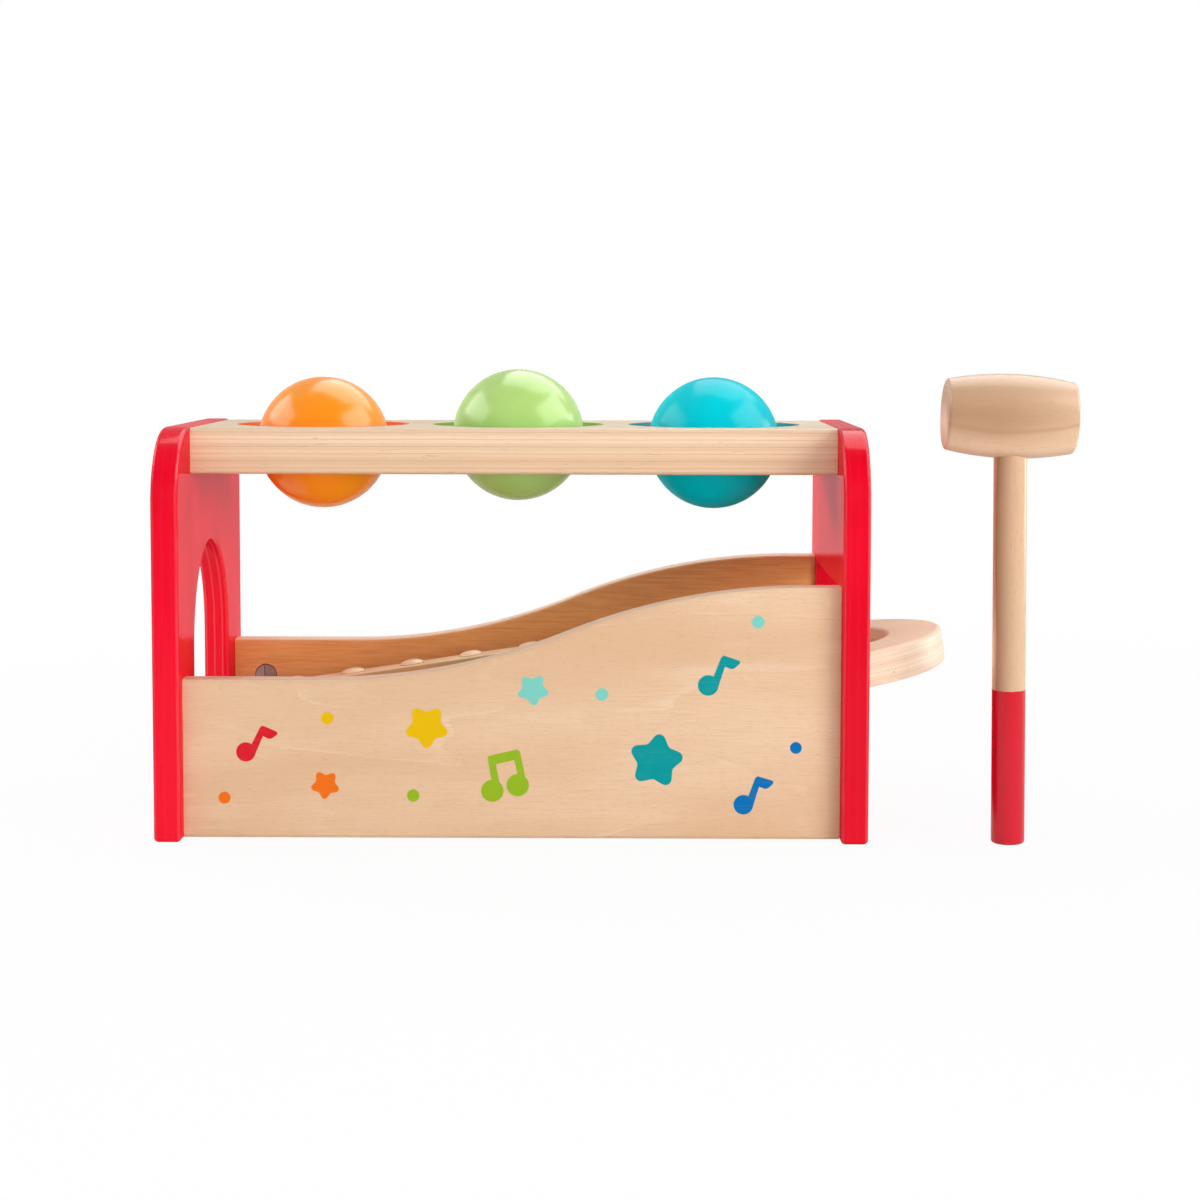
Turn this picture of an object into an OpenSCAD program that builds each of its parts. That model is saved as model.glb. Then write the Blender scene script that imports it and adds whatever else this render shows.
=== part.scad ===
// Pound-and-tap bench. Three balls sit in soft collars in the top board. Knocked through with the
// hammer, they drop on a sloping xylophone, run down its keys and leave by the arch in the left
// end. The xylophone lies on two runners and slides out to the right through a gate.
// X runs to the right, Y to the back and Z up, in millimetres. The origin is on the floor, under
// the middle of the whole set of bench and hammer.

/* [Bench] */
// Width over both end panels
bench_w = 235; // [225:1:260]
// Depth of an end panel, front to back
bench_d = 130; // [124:1:150]
// Height of an end panel
bench_h = 136; // [130:1:160]
// Thickness of an end panel
end_t = 9; // [8:0.5:12]
// Radius of an end panel's top corners
end_corner_r = 25; // [15:1:35]
// Rounding of an end panel's edges
end_edge_r = 1.5; // [0.5:0.1:3]

/* [Ball exit arch, left end panel] */
// Radius of the arch's round top
arch_r = 34.5; // [28:0.5:40]
// Height at which the round top starts
arch_spring_z = 60; // [50:1:70]
// Ease of the rims of the arch
rim_ease = 1; // [0.4:0.1:2]

/* [Side panels] */
// Thickness of a side panel
side_t = 9; // [8:0.5:12]
// Step back from an end panel's edge to a side panel's outer face
side_inset = 6; // [3:0.5:10]
// Gap between the floor and a side panel
side_floor_gap = 0.5; // [0.3:0.1:2]
// Height of the low, left stretch of the top edge
side_low_z = 53; // [48:1:60]
// Height of the high, right stretch of the top edge
side_high_z = 85; // [78:1:95]
// Length of the low stretch
side_low_l = 46.5; // [30:0.5:60]
// Length of the high stretch
side_high_l = 10.5; // [5:0.5:40]
// Rounding of the top edge
side_edge_r = 1.5; // [0.5:0.1:3]

/* [Top board] */
// Thickness of the board
board_t = 15.5; // [14:0.5:20]
// Depth of the board, front to back
board_d = 80; // [74:1:92]
// Step down from the end panels' tops to the board
board_drop = 0.4; // [0:0.1:3]
// Rounding of the board's long edges
board_edge_r = 1.5; // [0.5:0.1:4]

/* [Balls and collars] */
// Diameter of a ball
ball_d = 46; // [45:0.5:50]
// Height of a resting ball's centre above the middle of the board
ball_rise = 1.3; // [0:0.1:2]
// Extra height of the green ball, set less deep in its collar
green_extra = 2.7; // [0:0.1:4]
// Gap between a ball and its collar's land, on the radius
ball_clear = 0.3; // [0.2:0.05:0.5]
// Wall of a collar's tube
collar_wall = 3; // [2:0.1:4]
// Overhang of a collar's flange past its tube
collar_lip = 3.7; // [2:0.1:5]
// Thickness of a collar's flange
flange_t = 3; // [2:0.1:5]
// Depth of the funnel at a collar's mouth
funnel_depth = 3.5; // [2:0.1:4]
// Flat rim round the funnel
collar_rim = 2; // [1:0.1:3]
// Gap between a collar and the board, on the radius
collar_fit = 0.1; // [0.05:0.05:0.3]
// Board left between two flanges
collar_gap = 8.5; // [5:0.5:12]

/* [Xylophone base] */
// Fall of the xylophone to the left, in degrees
slope = 8.5; // [6:0.5:10]
// Height of the base's top at the left end panel
base_low_z = 27; // [24:0.5:32]
// Thickness of the base
base_t = 12; // [9:0.5:14]
// Rounding of the base's long edges and of the handle
base_edge_r = 1.5; // [0.5:0.1:3]
// Reach of the handle past the right end panel
handle_out = 31; // [25:1:45]
// Half length of the grip hole, front to back
grip_half_l = 20; // [16:0.5:24]
// Half width of the grip hole
grip_half_w = 11; // [8:0.5:13]
// Radius of the grip hole's long sides
grip_side_r = 30; // [27:1:45]
// Wood between the grip hole and the handle's tip
grip_wall = 19; // [15:0.5:22]
// Gap between the base's low end and the left end panel
stop_gap = 0.3; // [0.2:0.1:1]

/* [Runners and gate] */
// Width of a runner, from its side panel inwards
runner_w = 10; // [8:0.5:13]
// Thickness of the ledge under the base
ledge_t = 8; // [5:0.5:10]
// Thickness of the lip beside the base
lip_t = 2.5; // [1.5:0.1:4]
// Gap between the base and a lip
guide_clear = 0.5; // [0.3:0.1:1]
// Gap between the base and the ledges
slide_clear = 0.3; // [0.2:0.05:0.6]
// Length that a runner stops short of the right end panel
runner_short = 24; // [20:1:40]
// Gap between the base and the gate, at the sides and the sill
gate_clear = 1; // [0.5:0.1:2]
// Height of the gate above the base, at the outer face
gate_head = 22.4; // [15:0.1:30]
// Radius of the gate's corners
gate_r = 3; // [2:0.5:6]

/* [Keys and rails] */
// Number of keys
key_count = 8; // [8:8]
// Length of base below the first key
key_low_margin = 13.8; // [11:0.1:18]
// Length between the last key and the right end panel's inner face
key_high_margin = 28.5; // [24:0.5:40]
// Gap between two keys
key_gap = 4.1; // [3:0.1:7]
// Thickness of a key
key_t = 2; // [1.5:0.1:3]
// Radius of a key's corners
key_corner_r = 2; // [1:0.1:4]
// Thickness of a felt strip
felt_t = 2; // [1.5:0.1:3]
// Gap round a key, above it and at its ends
key_clear = 0.3; // [0.2:0.05:0.6]
// Width of a rail
rail_w = 11; // [10:0.5:13]
// Thickness of a rail over the keys
rail_t = 2.7; // [2:0.1:4]
// Thickness of a rail's leg outside the keys' ends
rail_leg = 1.8; // [1.2:0.1:2]
// Step from the base's edge to a rail
rail_inset = 1.5; // [0.5:0.1:3]
// Length of a rail past the first and last key
rail_over = 3; // [1:0.5:5]
// Rounding of a rail's top edges
rail_edge_r = 0.8; // [0.3:0.1:1.2]
// Diameter of a boss on a rail
boss_d = 9; // [7:0.1:10]
// Height of a boss's dome
boss_h = 1.6; // [1:0.1:2.5]
// Diameter of a key screw
screw_d = 3; // [2.5:0.1:3.2]
// Diameter of a key screw's head
screw_head_d = 6; // [5:0.1:7]
// Thickness of a key screw's head
screw_head_t = 2; // [1.5:0.1:3]
// Depth of a key screw's end in its rail
screw_bite = 2.6; // [1.5:0.1:3]
// Gap between a key screw and the hole in its key, on the radius
key_hole_clear = 0.4; // [0.2:0.05:0.6]

/* [Bolts, nuts and dowels] */
// Diameter of a bolt
bolt_d = 4; // [3:0.5:5]
// Diameter of a bolt's head
bolt_head_d = 8.4; // [7:0.1:9]
// Thickness of a bolt's head
bolt_head_t = 2.6; // [2:0.1:3.5]
// Depth of a bolt's head below the end panel's face
bolt_sink = 0.4; // [0.2:0.1:1]
// Width over flats of a bolt's hexagon socket
bolt_socket = 2.5; // [2:0.1:3]
// Length of a bolt past its barrel nut
bolt_tip = 2; // [1:0.5:4]
// Height of the bolts into the side panels
bolt_z = 39.5; // [36:0.5:41]
// Distance of the board's bolts from its middle
board_bolt_y = 26; // [20:0.5:29]
// Diameter of a barrel nut
nut_d = 8; // [7:0.1:9]
// Distance of a barrel nut from the end panel
nut_inset = 11.5; // [8:0.5:14]
// Length of a barrel nut past its bolt's axis
nut_over = 3; // [2.5:0.1:3.5]
// Width of the screwdriver slot in a barrel nut
nut_slot_w = 1.2; // [0.8:0.1:2]
// Depth of the screwdriver slot
nut_slot_depth = 1; // [0.5:0.1:1.5]
// Diameter of a dowel
dowel_d = 5; // [4:0.5:6]
// Height of the dowels
dowel_z = 15; // [12:0.5:20]
// Depth of a dowel in an end panel
dowel_in_end = 5; // [3:0.5:6]
// Depth of a dowel in a side panel
dowel_in_side = 15; // [10:1:25]
// Gap round bolts, nuts, screws and dowels in their holes, on the radius
hole_clear = 0.1; // [0.05:0.05:0.3]

/* [Hammer] */
// Height of the standing hammer
hammer_h = 154.5; // [140:0.5:180]
// Length of the head
head_l = 45.4; // [38:0.1:55]
// Diameter of the head at its middle
head_d = 27.6; // [25:0.1:32]
// Diameter of the head at its ends
head_end_d = 23; // [21:0.1:24.5]
// Rounding of the head's end edges
head_edge_r = 2.5; // [1:0.1:4]
// Diameter of the handle
handle_d = 11; // [9:0.1:13]
// Depth of the handle in the head
handle_socket = 19; // [12:0.5:21]
// Length of the red painted grip
grip_l = 51; // [35:1:70]
// Rounding of the handle's lower edge
handle_edge_r = 1; // [0.5:0.1:2]
// Distance of the handle's axis from the tip of the xylophone, to the right
hammer_gap_x = 14.9; // [8:0.1:30]
// Distance of the handle's axis from the edge of the xylophone, to the front
hammer_gap_y = 12.5; // [8:0.1:20]

/* [Hidden] */
$fn = 64;
// Overlap of a cutter past the face that it cuts
over = 1;

// Spaces between the panels
inner_w = bench_w - 2*end_t;
inner_x = inner_w/2;
inner_y = bench_d/2 - side_inset - side_t;
side_y = inner_y + side_t/2;
board_top_z = bench_h - board_drop;
board_z = board_top_z - board_t;
board_mid_z = board_z + board_t/2;

// S-curve of a side panel's top edge: two tangent arcs between the low and high stretches
side_low_x = -inner_x + side_low_l;
side_high_x = inner_x - side_high_l;
side_mid_x = (side_low_x + side_high_x)/2;
side_rise_l = side_high_x - side_low_x;
side_rise = side_high_z - side_low_z;
side_curve_r = (side_rise_l*side_rise_l + side_rise*side_rise)/(4*side_rise);
side_curve_a = 2*atan(side_rise/side_rise_l);
side_curve_fn = 256;
// Depth of the band along the top edge that carries the rounding
side_band = 4*side_edge_r;
// The upper arc's band runs on under the lower arc's by this angle, this much inside its faces,
// so that the two cross cleanly at any size
side_lap_a = 0.5;
side_step = 0.02;

// Balls and collars
land_r = ball_d/2 + ball_clear;
tube_r = land_r + collar_wall;
flange_r = tube_r + collar_lip;
ball_pitch = 2*flange_r + collar_gap;
ball_z = board_mid_z + ball_rise;

// Xylophone, measured along its slope from the left end panel's inner face
base_w = 2*(inner_y - lip_t - guide_clear);
base_r = base_w/2;
run_l = inner_w/cos(slope);
tip_u = (inner_w + end_t + handle_out)/cos(slope);
key_pitch = (run_l - key_low_margin - key_high_margin)/key_count;
key_w = key_pitch - key_gap;
rail_y = base_r - rail_inset - rail_w/2;
rail_outer_y = rail_y + rail_w/2;
rail_inner_y = rail_y - rail_w/2;
key_half_l = rail_outer_y - rail_leg - key_clear;
rail_under_w = felt_t + key_t + key_clear;
rail_top_w = rail_under_w + rail_t;

// Gate in the right end panel
gate_half_w = base_r + gate_clear;
gate_sill_z = base_low_z + inner_w*tan(slope) - base_t/cos(slope) - gate_clear;
gate_top_z = base_low_z + (inner_w + end_t)*tan(slope) + gate_head;

// Fasteners, measured inwards from an end panel's outer face
bolt_l = end_t + nut_inset + nut_d/2 + bolt_tip;
nut_x = end_t + nut_inset;

// Hammer and set
hammer_x = bench_w/2 + handle_out + hammer_gap_x;
hammer_y = -(base_r + hammer_gap_y);
head_z = hammer_h - head_d/2;
handle_top_z = hammer_h - head_d + handle_socket;
set_x = (hammer_x + head_l/2 - bench_w/2)/2;
set_y = (bench_d/2 + min(-bench_d/2, hammer_y - head_d/2))/2;

red = [0.86, 0.06, 0.16];
birch = [0.92, 0.78, 0.62];
beige = [0.95, 0.83, 0.69];
steel = [0.62, 0.62, 0.64];
felt_grey = [0.55, 0.53, 0.50];
orange = [1.00, 0.55, 0.13];
green = [0.66, 0.83, 0.43];
teal = [0.05, 0.72, 0.78];
key_colours = [
  [0.86, 0.14, 0.20],
  [0.96, 0.47, 0.12],
  [0.95, 0.77, 0.10],
  [0.60, 0.77, 0.20],
  [0.16, 0.62, 0.36],
  [0.05, 0.62, 0.66],
  [0.05, 0.42, 0.74],
  [0.45, 0.28, 0.62]
];

// Places

// From the bench's own middle to the middle of the whole set
module place() {
  translate([-set_x, -set_y, 0]) children();
}

// From the left end panel's inner face up the slope: X along it, Z square to the base's top
module on_slope() {
  place() translate([-inner_x, 0, base_low_z]) rotate([0, -slope, 0]) children();
}

// Front (-1) or back (1) copy of something made for the back
module on_side(side) {
  mirror([0, side < 0 ? 1 : 0, 0]) children();
}

// At both end panels, with X running inwards from the outer face
module at_ends() {
  for (end = [-1, 1])
    translate([end*bench_w/2, 0, 0]) mirror([end > 0 ? 1 : 0, 0, 0]) children();
}

// At both side panels' middles and at a height, front and back
module at_side_panels(z) {
  for (side = [-1, 1])
    on_side(side) translate([0, side_y, z]) children();
}

// At the board's two bolts at one end
module at_board_bolts() {
  for (side = [-1, 1])
    translate([0, side*board_bolt_y, board_mid_z]) children();
}

// At a key's two screws, front and back
module at_key_screws(index) {
  for (side = [-1, 1])
    translate([key_u(index), side*rail_y, 0]) children();
}

// Place of a key's middle along the slope
function key_u(index) = key_low_margin + (index - 0.5)*key_pitch;

// Shapes used by several pieces

// Rectangle with round corners, about its middle
module rounded_rect(w, h, r) {
  square([w - 2*r, h], center = true);
  square([w, h - 2*r], center = true);
  for (x = [-1, 1], y = [-1, 1])
    translate([x*(w/2 - r), y*(h/2 - r)]) circle(r);
}

// Cylinder along X from x = 0
module rod_x(d, l) {
  rotate([0, 90, 0]) cylinder(d = d, h = l);
}

// End panels

// Panel before its cuts: round top corners and rounded edges, inner to outer face along X
module end_blank() {
  hull()
    for (a = [0:30:90])
      let (inset = end_edge_r*(1 - sin(a)), t = end_t - 2*end_edge_r*(1 - cos(a))) {
        translate([-t/2, -bench_d/2 + inset, inset])
          cube([t, bench_d - 2*inset, bench_h - end_corner_r - inset]);
        for (side = [-1, 1])
          translate([-t/2, side*(bench_d/2 - end_corner_r), bench_h - end_corner_r])
            rotate([0, 90, 0]) cylinder(r = end_corner_r - inset, h = t, $fn = 48);
      }
}

// Arch with its eased rims, open to the floor
module arch_cut() {
  translate([-end_t/2 - over, 0, arch_spring_z]) rod_x(2*arch_r, end_t + 2*over);
  translate([-end_t/2 - over, -arch_r, -over])
    cube([end_t + 2*over, 2*arch_r, arch_spring_z + over]);
  for (face = [-1, 1])
    mirror([face < 0 ? 1 : 0, 0, 0]) translate([end_t/2 - rim_ease, 0, 0]) {
      translate([0, 0, arch_spring_z]) rotate([0, 90, 0])
        cylinder(r1 = arch_r, r2 = arch_r + rim_ease + over, h = rim_ease + over);
      translate([0, 0, -over]) linear_extrude(arch_spring_z + over)
        polygon([[0, -arch_r], [rim_ease + over, -arch_r - rim_ease - over],
                 [rim_ease + over, arch_r + rim_ease + over], [0, arch_r]]);
    }
}

// Gate for the xylophone, its cut along X
module gate_cut() {
  gate_h = gate_top_z - gate_sill_z;
  translate([-end_t/2 - over, 0, gate_sill_z + gate_h/2]) rotate([90, 0, 90])
    linear_extrude(end_t + 2*over) rounded_rect(2*gate_half_w, gate_h, gate_r);
}

// Holes for every bolt: head pocket, shank
module bolt_holes() {
  at_ends() {
    at_side_panels(bolt_z) bolt_hole();
    at_board_bolts() bolt_hole();
  }
}

module bolt_hole() {
  translate([-over, 0, 0]) rod_x(bolt_head_d + 2*hole_clear, over + bolt_sink + bolt_head_t);
  rod_x(bolt_d + 2*hole_clear, bolt_l + over);
}

module dowel_holes() {
  at_ends() at_side_panels(dowel_z)
    translate([end_t - dowel_in_end - hole_clear, 0, 0])
      rod_x(dowel_d + 2*hole_clear, dowel_in_end + dowel_in_side + 2*hole_clear);
}

module left_end_panel() {
  color(red) place() difference() {
    translate([-bench_w/2 + end_t/2, 0, 0]) difference() {
      end_blank();
      arch_cut();
    }
    bolt_holes();
    dowel_holes();
  }
}

module right_end_panel() {
  color(red) place() difference() {
    translate([bench_w/2 - end_t/2, 0, 0]) difference() {
      end_blank();
      gate_cut();
    }
    bolt_holes();
    dowel_holes();
  }
}

// Side panels

// Side panel below its edge band, seen from the front
module side_web() {
  drop = side_band/2;
  low_z = side_low_z - drop;
  translate([-inner_x, side_floor_gap]) square([inner_w, low_z - side_floor_gap]);
  difference() {
    translate([side_low_x, low_z - over])
      square([side_mid_x - side_low_x, side_rise/2 + over]);
    translate([side_low_x, side_low_z + side_curve_r])
      circle(side_curve_r + drop, $fn = side_curve_fn);
  }
  intersection() {
    translate([side_mid_x, low_z - over])
      square([side_high_x - side_mid_x, side_rise + over]);
    translate([side_high_x, side_high_z - side_curve_r])
      circle(side_curve_r - drop, $fn = side_curve_fn);
  }
  translate([side_high_x, low_z - over]) square([side_high_l, side_rise + over]);
}

// Section of the edge band, its round edges up, the top at Y = 0
module band_section(step = 0) {
  half = side_t/2 - step;
  flat = half - side_edge_r;
  translate([-half, -side_band]) square([2*half, side_band - side_edge_r]);
  translate([-flat, -side_band]) square([2*flat, side_band]);
  for (face = [-1, 1])
    translate([face*flat, -side_edge_r]) circle(side_edge_r);
}

// Edge band: along the low stretch, up the two arcs and along the high stretch
module side_edge() {
  translate([-inner_x, 0, side_low_z]) rotate([90, 0, 90])
    linear_extrude(side_low_l) band_section();
  translate([side_low_x, 0, side_low_z + side_curve_r]) rotate([90, 0, 0]) rotate(-90)
    rotate_extrude(angle = side_curve_a, $fn = side_curve_fn)
      translate([side_curve_r, 0]) rotate(90) band_section();
  translate([side_high_x, 0, side_high_z - side_curve_r]) rotate([90, 0, 0]) rotate(90)
    rotate_extrude(angle = side_curve_a + side_lap_a, $fn = side_curve_fn)
      translate([side_curve_r - side_step, 0]) rotate(-90) band_section(side_step);
  translate([side_high_x, 0, side_high_z]) rotate([90, 0, 90])
    linear_extrude(side_high_l) band_section();
}

// Holes for the barrel nuts, blind, from a side panel's inner face
module side_nut_holes() {
  at_ends() for (side = [-1, 1])
    on_side(side) translate([nut_x, inner_y - over, bolt_z]) rotate([-90, 0, 0])
      cylinder(d = nut_d + 2*hole_clear, h = over + side_t/2 + nut_over + hole_clear);
}

module side_panel(side) {
  color(birch) place() difference() {
    on_side(side) translate([0, side_y, 0]) {
      rotate([90, 0, 0]) linear_extrude(side_t, center = true) side_web();
      side_edge();
    }
    bolt_holes();
    dowel_holes();
    side_nut_holes();
  }
}

module front_side_panel() {
  side_panel(-1);
}

module back_side_panel() {
  side_panel(1);
}

// Top board, balls and collars

// At one of the three holes: -1 orange, 0 green, 1 teal, on the board's top
module at_hole(index) {
  translate([index*ball_pitch, 0, board_top_z]) children();
}

module board_nut_holes() {
  at_ends() for (side = [-1, 1])
    translate([nut_x, side*board_bolt_y, board_z - over])
      cylinder(d = nut_d + 2*hole_clear, h = over + board_t/2 + nut_over + hole_clear);
}

module top_board() {
  color(birch) place() difference() {
    translate([-inner_x, 0, board_mid_z]) rotate([90, 0, 90])
      linear_extrude(inner_w) rounded_rect(board_d, board_t, board_edge_r);
    for (index = [-1:1])
      at_hole(index) {
        translate([0, 0, -flange_t]) cylinder(r = flange_r + collar_fit, h = flange_t + over);
        translate([0, 0, -board_t - over]) cylinder(r = tube_r + collar_fit, h = board_t + over);
      }
    bolt_holes();
    board_nut_holes();
  }
}

// Soft collar: flange let into the board, funnel mouth, and a land that grips the ball
module collar(index) {
  place() at_hole(index) rotate_extrude()
    polygon([[land_r, -board_t], [tube_r, -board_t], [tube_r, -flange_t], [flange_r, -flange_t],
             [flange_r, 0], [flange_r - collar_rim, 0], [land_r, -funnel_depth]]);
}

module orange_collar() {
  color(orange) collar(-1);
}

module green_collar() {
  color(green) collar(0);
}

module teal_collar() {
  color(teal) collar(1);
}

module ball(index, extra = 0) {
  place() translate([index*ball_pitch, 0, ball_z + extra]) sphere(d = ball_d);
}

module orange_ball() {
  color(orange) ball(-1);
}

module green_ball() {
  color(green) ball(0, green_extra);
}

module teal_ball() {
  color(teal) ball(1);
}

// Runners: a ledge under the base and a lip beside it, along the slope
module runner(side) {
  ledge_top_w = -base_t - slide_clear;
  color(birch) on_slope() on_side(side)
    translate([stop_gap, 0, 0]) rotate([90, 0, 90])
      linear_extrude(run_l - runner_short - stop_gap) {
        translate([inner_y - runner_w, ledge_top_w - ledge_t]) square([runner_w, ledge_t]);
        translate([inner_y - lip_t, ledge_top_w - ledge_t]) square([lip_t, ledge_t - ledge_top_w]);
      }
}

module front_runner() {
  runner(-1);
}

module back_runner() {
  runner(1);
}

// Xylophone

// Oval of four tangent arcs, about its middle
module grip_outline() {
  // Radius of the end arcs that meets the side arcs without a corner
  end_r = (2*grip_side_r*grip_half_w - grip_half_w*grip_half_w - grip_half_l*grip_half_l)
          /(2*(grip_side_r - grip_half_l));
  end_y = grip_half_l - end_r;
  // Height of the points where side and end arcs meet
  meet_y = end_y*grip_side_r/(grip_side_r - end_r);
  intersection() {
    translate([grip_side_r - grip_half_w, 0]) circle(grip_side_r);
    translate([grip_half_w - grip_side_r, 0]) circle(grip_side_r);
    square([2*grip_half_w, 2*meet_y], center = true);
  }
  for (y = [-1, 1])
    translate([0, y*end_y]) circle(end_r);
}

// Base with rounded edges: straight stretch and half-round handle, its top at Z = 0
module base_blank() {
  straight_l = tip_u - base_r;
  translate([stop_gap, 0, -base_t/2]) rotate([90, 0, 90])
    linear_extrude(straight_l - stop_gap) rounded_rect(base_w, base_t, base_edge_r);
  translate([straight_l, 0, -base_t/2]) rotate(-90) rotate_extrude(angle = 180, $fn = 128)
    intersection() {
      rounded_rect(base_w, base_t, base_edge_r);
      translate([0, -base_t]) square([base_w, 2*base_t]);
    }
}

module xylophone_base() {
  color(birch) on_slope() difference() {
    base_blank();
    translate([tip_u - grip_wall - grip_half_w, 0, -base_t - over])
      linear_extrude(base_t + 2*over) grip_outline();
    for (index = [1:key_count])
      at_key_screws(index) {
        translate([0, 0, -base_t - over]) cylinder(d = screw_d + 2*hole_clear, h = base_t + 2*over);
        translate([0, 0, -base_t - over])
          cylinder(d = screw_head_d + 2*hole_clear, h = over + screw_head_t);
      }
  }
}

// Rail: a strip over the keys' ends with a leg outside them, and a domed boss over each screw
module key_rail(side) {
  dome_r = (boss_d*boss_d/4 + boss_h*boss_h)/(2*boss_h);
  color(beige) on_slope() on_side(side) difference() {
    union() {
      translate([key_low_margin - rail_over, 0, 0]) rotate([90, 0, 90])
        linear_extrude(key_count*key_pitch + 2*rail_over) {
          translate([rail_inner_y, rail_under_w]) square([rail_w, rail_t - rail_edge_r]);
          translate([rail_inner_y + rail_edge_r, rail_under_w])
            square([rail_w - 2*rail_edge_r, rail_t]);
          for (edge = [-1, 1])
            translate([rail_y + edge*(rail_w/2 - rail_edge_r), rail_top_w - rail_edge_r])
              circle(rail_edge_r);
          translate([rail_outer_y - rail_leg, 0]) square([rail_leg, rail_under_w + over/2]);
        }
      for (index = [1:key_count])
        translate([key_u(index), rail_y, rail_top_w]) rotate_extrude() intersection() {
          translate([0, boss_h - dome_r]) circle(dome_r);
          translate([0, -over/2]) square([boss_d/2, boss_h + over]);
        }
    }
    for (index = [1:key_count])
      translate([key_u(index), rail_y, 0])
        cylinder(d = screw_d + 2*hole_clear, h = rail_under_w + screw_bite + hole_clear);
  }
}

module front_key_rail() {
  key_rail(-1);
}

module back_key_rail() {
  key_rail(1);
}

module felt_strip(side) {
  felt_w = key_half_l - rail_inner_y;
  color(felt_grey) on_slope() on_side(side) difference() {
    translate([key_low_margin, rail_inner_y, 0]) cube([key_count*key_pitch, felt_w, felt_t]);
    for (index = [1:key_count])
      translate([key_u(index), rail_y, -over])
        cylinder(d = screw_d + 2*hole_clear, h = felt_t + 2*over);
  }
}

module front_felt_strip() {
  felt_strip(-1);
}

module back_felt_strip() {
  felt_strip(1);
}

// Metal key, counted from the low end
module key(index) {
  color(key_colours[index - 1]) on_slope() translate([0, 0, felt_t]) linear_extrude(key_t)
    difference() {
      translate([key_u(index), 0]) rounded_rect(key_w, 2*key_half_l, key_corner_r);
      at_key_screws(index) circle(d = screw_d + 2*key_hole_clear);
    }
}

// Screws from under the base, through felt and key, into the rails' bosses
module key_screws() {
  color(steel) on_slope() for (index = [1:key_count])
    at_key_screws(index) translate([0, 0, -base_t]) {
      cylinder(d = screw_head_d, h = screw_head_t);
      cylinder(d = screw_d, h = base_t + rail_under_w + screw_bite);
    }
}

// Fasteners

module bolt() {
  translate([bolt_sink, 0, 0]) difference() {
    union() {
      rod_x(bolt_head_d, bolt_head_t);
      rod_x(bolt_d, bolt_l - bolt_sink);
    }
    translate([-over, 0, 0]) rotate([0, 90, 0])
      cylinder(d = bolt_socket/cos(30), h = over + bolt_head_t/2, $fn = 6);
  }
}

module bolts() {
  color(steel) place() at_ends() {
    at_side_panels(bolt_z) bolt();
    at_board_bolts() bolt();
  }
}

// Barrel nut along Z from its slotted face, with a cross hole for the bolt along X
module barrel_nut(axis_depth) {
  difference() {
    cylinder(d = nut_d, h = axis_depth + nut_over);
    translate([-nut_d, 0, axis_depth]) rod_x(bolt_d + 2*hole_clear, 2*nut_d);
    translate([-nut_slot_w/2, -nut_d, -over]) cube([nut_slot_w, 2*nut_d, over + nut_slot_depth]);
  }
}

module barrel_nuts() {
  color(steel) place() at_ends() for (side = [-1, 1]) {
    on_side(side) translate([nut_x, inner_y, bolt_z]) rotate([-90, 0, 0]) barrel_nut(side_t/2);
    translate([nut_x, side*board_bolt_y, board_z]) barrel_nut(board_t/2);
  }
}

module dowels() {
  color(birch) place() at_ends() at_side_panels(dowel_z)
    translate([end_t - dowel_in_end, 0, 0]) rod_x(dowel_d, dowel_in_end + dowel_in_side);
}

// Hammer

// Half section of the barrel-shaped head, along its axis
module head_section() {
  bulge = (head_d - head_end_d)/2;
  half_l = head_l/2;
  barrel_r = (half_l*half_l + bulge*bulge)/(2*bulge);
  square_l = half_l - head_edge_r;
  // Radius of the barrel where the end rounding starts
  edge_r = head_d/2 - barrel_r + sqrt(barrel_r*barrel_r - square_l*square_l);
  intersection() {
    translate([head_d/2 - barrel_r, 0]) circle(barrel_r, $fn = 256);
    translate([0, -square_l]) square([head_d/2, 2*square_l]);
  }
  translate([0, -half_l]) square([edge_r - head_edge_r, head_l]);
  for (end = [-1, 1])
    intersection() {
      translate([edge_r - head_edge_r, end*square_l]) circle(head_edge_r);
      translate([0, -half_l]) square([head_d/2, head_l]);
    }
}

module hammer_head() {
  color(birch) place() translate([hammer_x, hammer_y, 0]) difference() {
    translate([0, 0, head_z]) rotate([0, 90, 0]) rotate_extrude() head_section();
    cylinder(d = handle_d + 2*hole_clear, h = handle_top_z);
  }
}

// Turned handle with a rounded lower edge and a red painted grip
module hammer_handle() {
  place() translate([hammer_x, hammer_y, 0]) {
    color(red) rotate_extrude() {
      square([handle_d/2 - handle_edge_r, grip_l]);
      translate([0, handle_edge_r]) square([handle_d/2, grip_l - handle_edge_r]);
      translate([handle_d/2 - handle_edge_r, handle_edge_r]) circle(handle_edge_r);
    }
    color(birch) translate([0, 0, grip_l]) cylinder(d = handle_d, h = handle_top_z - grip_l);
  }
}

left_end_panel();
right_end_panel();
front_side_panel();
back_side_panel();
top_board();
orange_collar();
green_collar();
teal_collar();
orange_ball();
green_ball();
teal_ball();
front_runner();
back_runner();
xylophone_base();
front_key_rail();
back_key_rail();
front_felt_strip();
back_felt_strip();
key(1);  // key_1
key(2);  // key_2
key(3);  // key_3
key(4);  // key_4
key(5);  // key_5
key(6);  // key_6
key(7);  // key_7
key(8);  // key_8
key_screws();
bolts();
barrel_nuts();
dowels();
hammer_head();
hammer_handle();
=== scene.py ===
from math import atan, atan2, ceil, cos, degrees, pi, radians, sin, sqrt, tan

import bmesh
import bpy
from mathutils import Matrix, Vector, noise
from mathutils.geometry import delaunay_2d_cdt, tessellate_polygon


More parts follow.
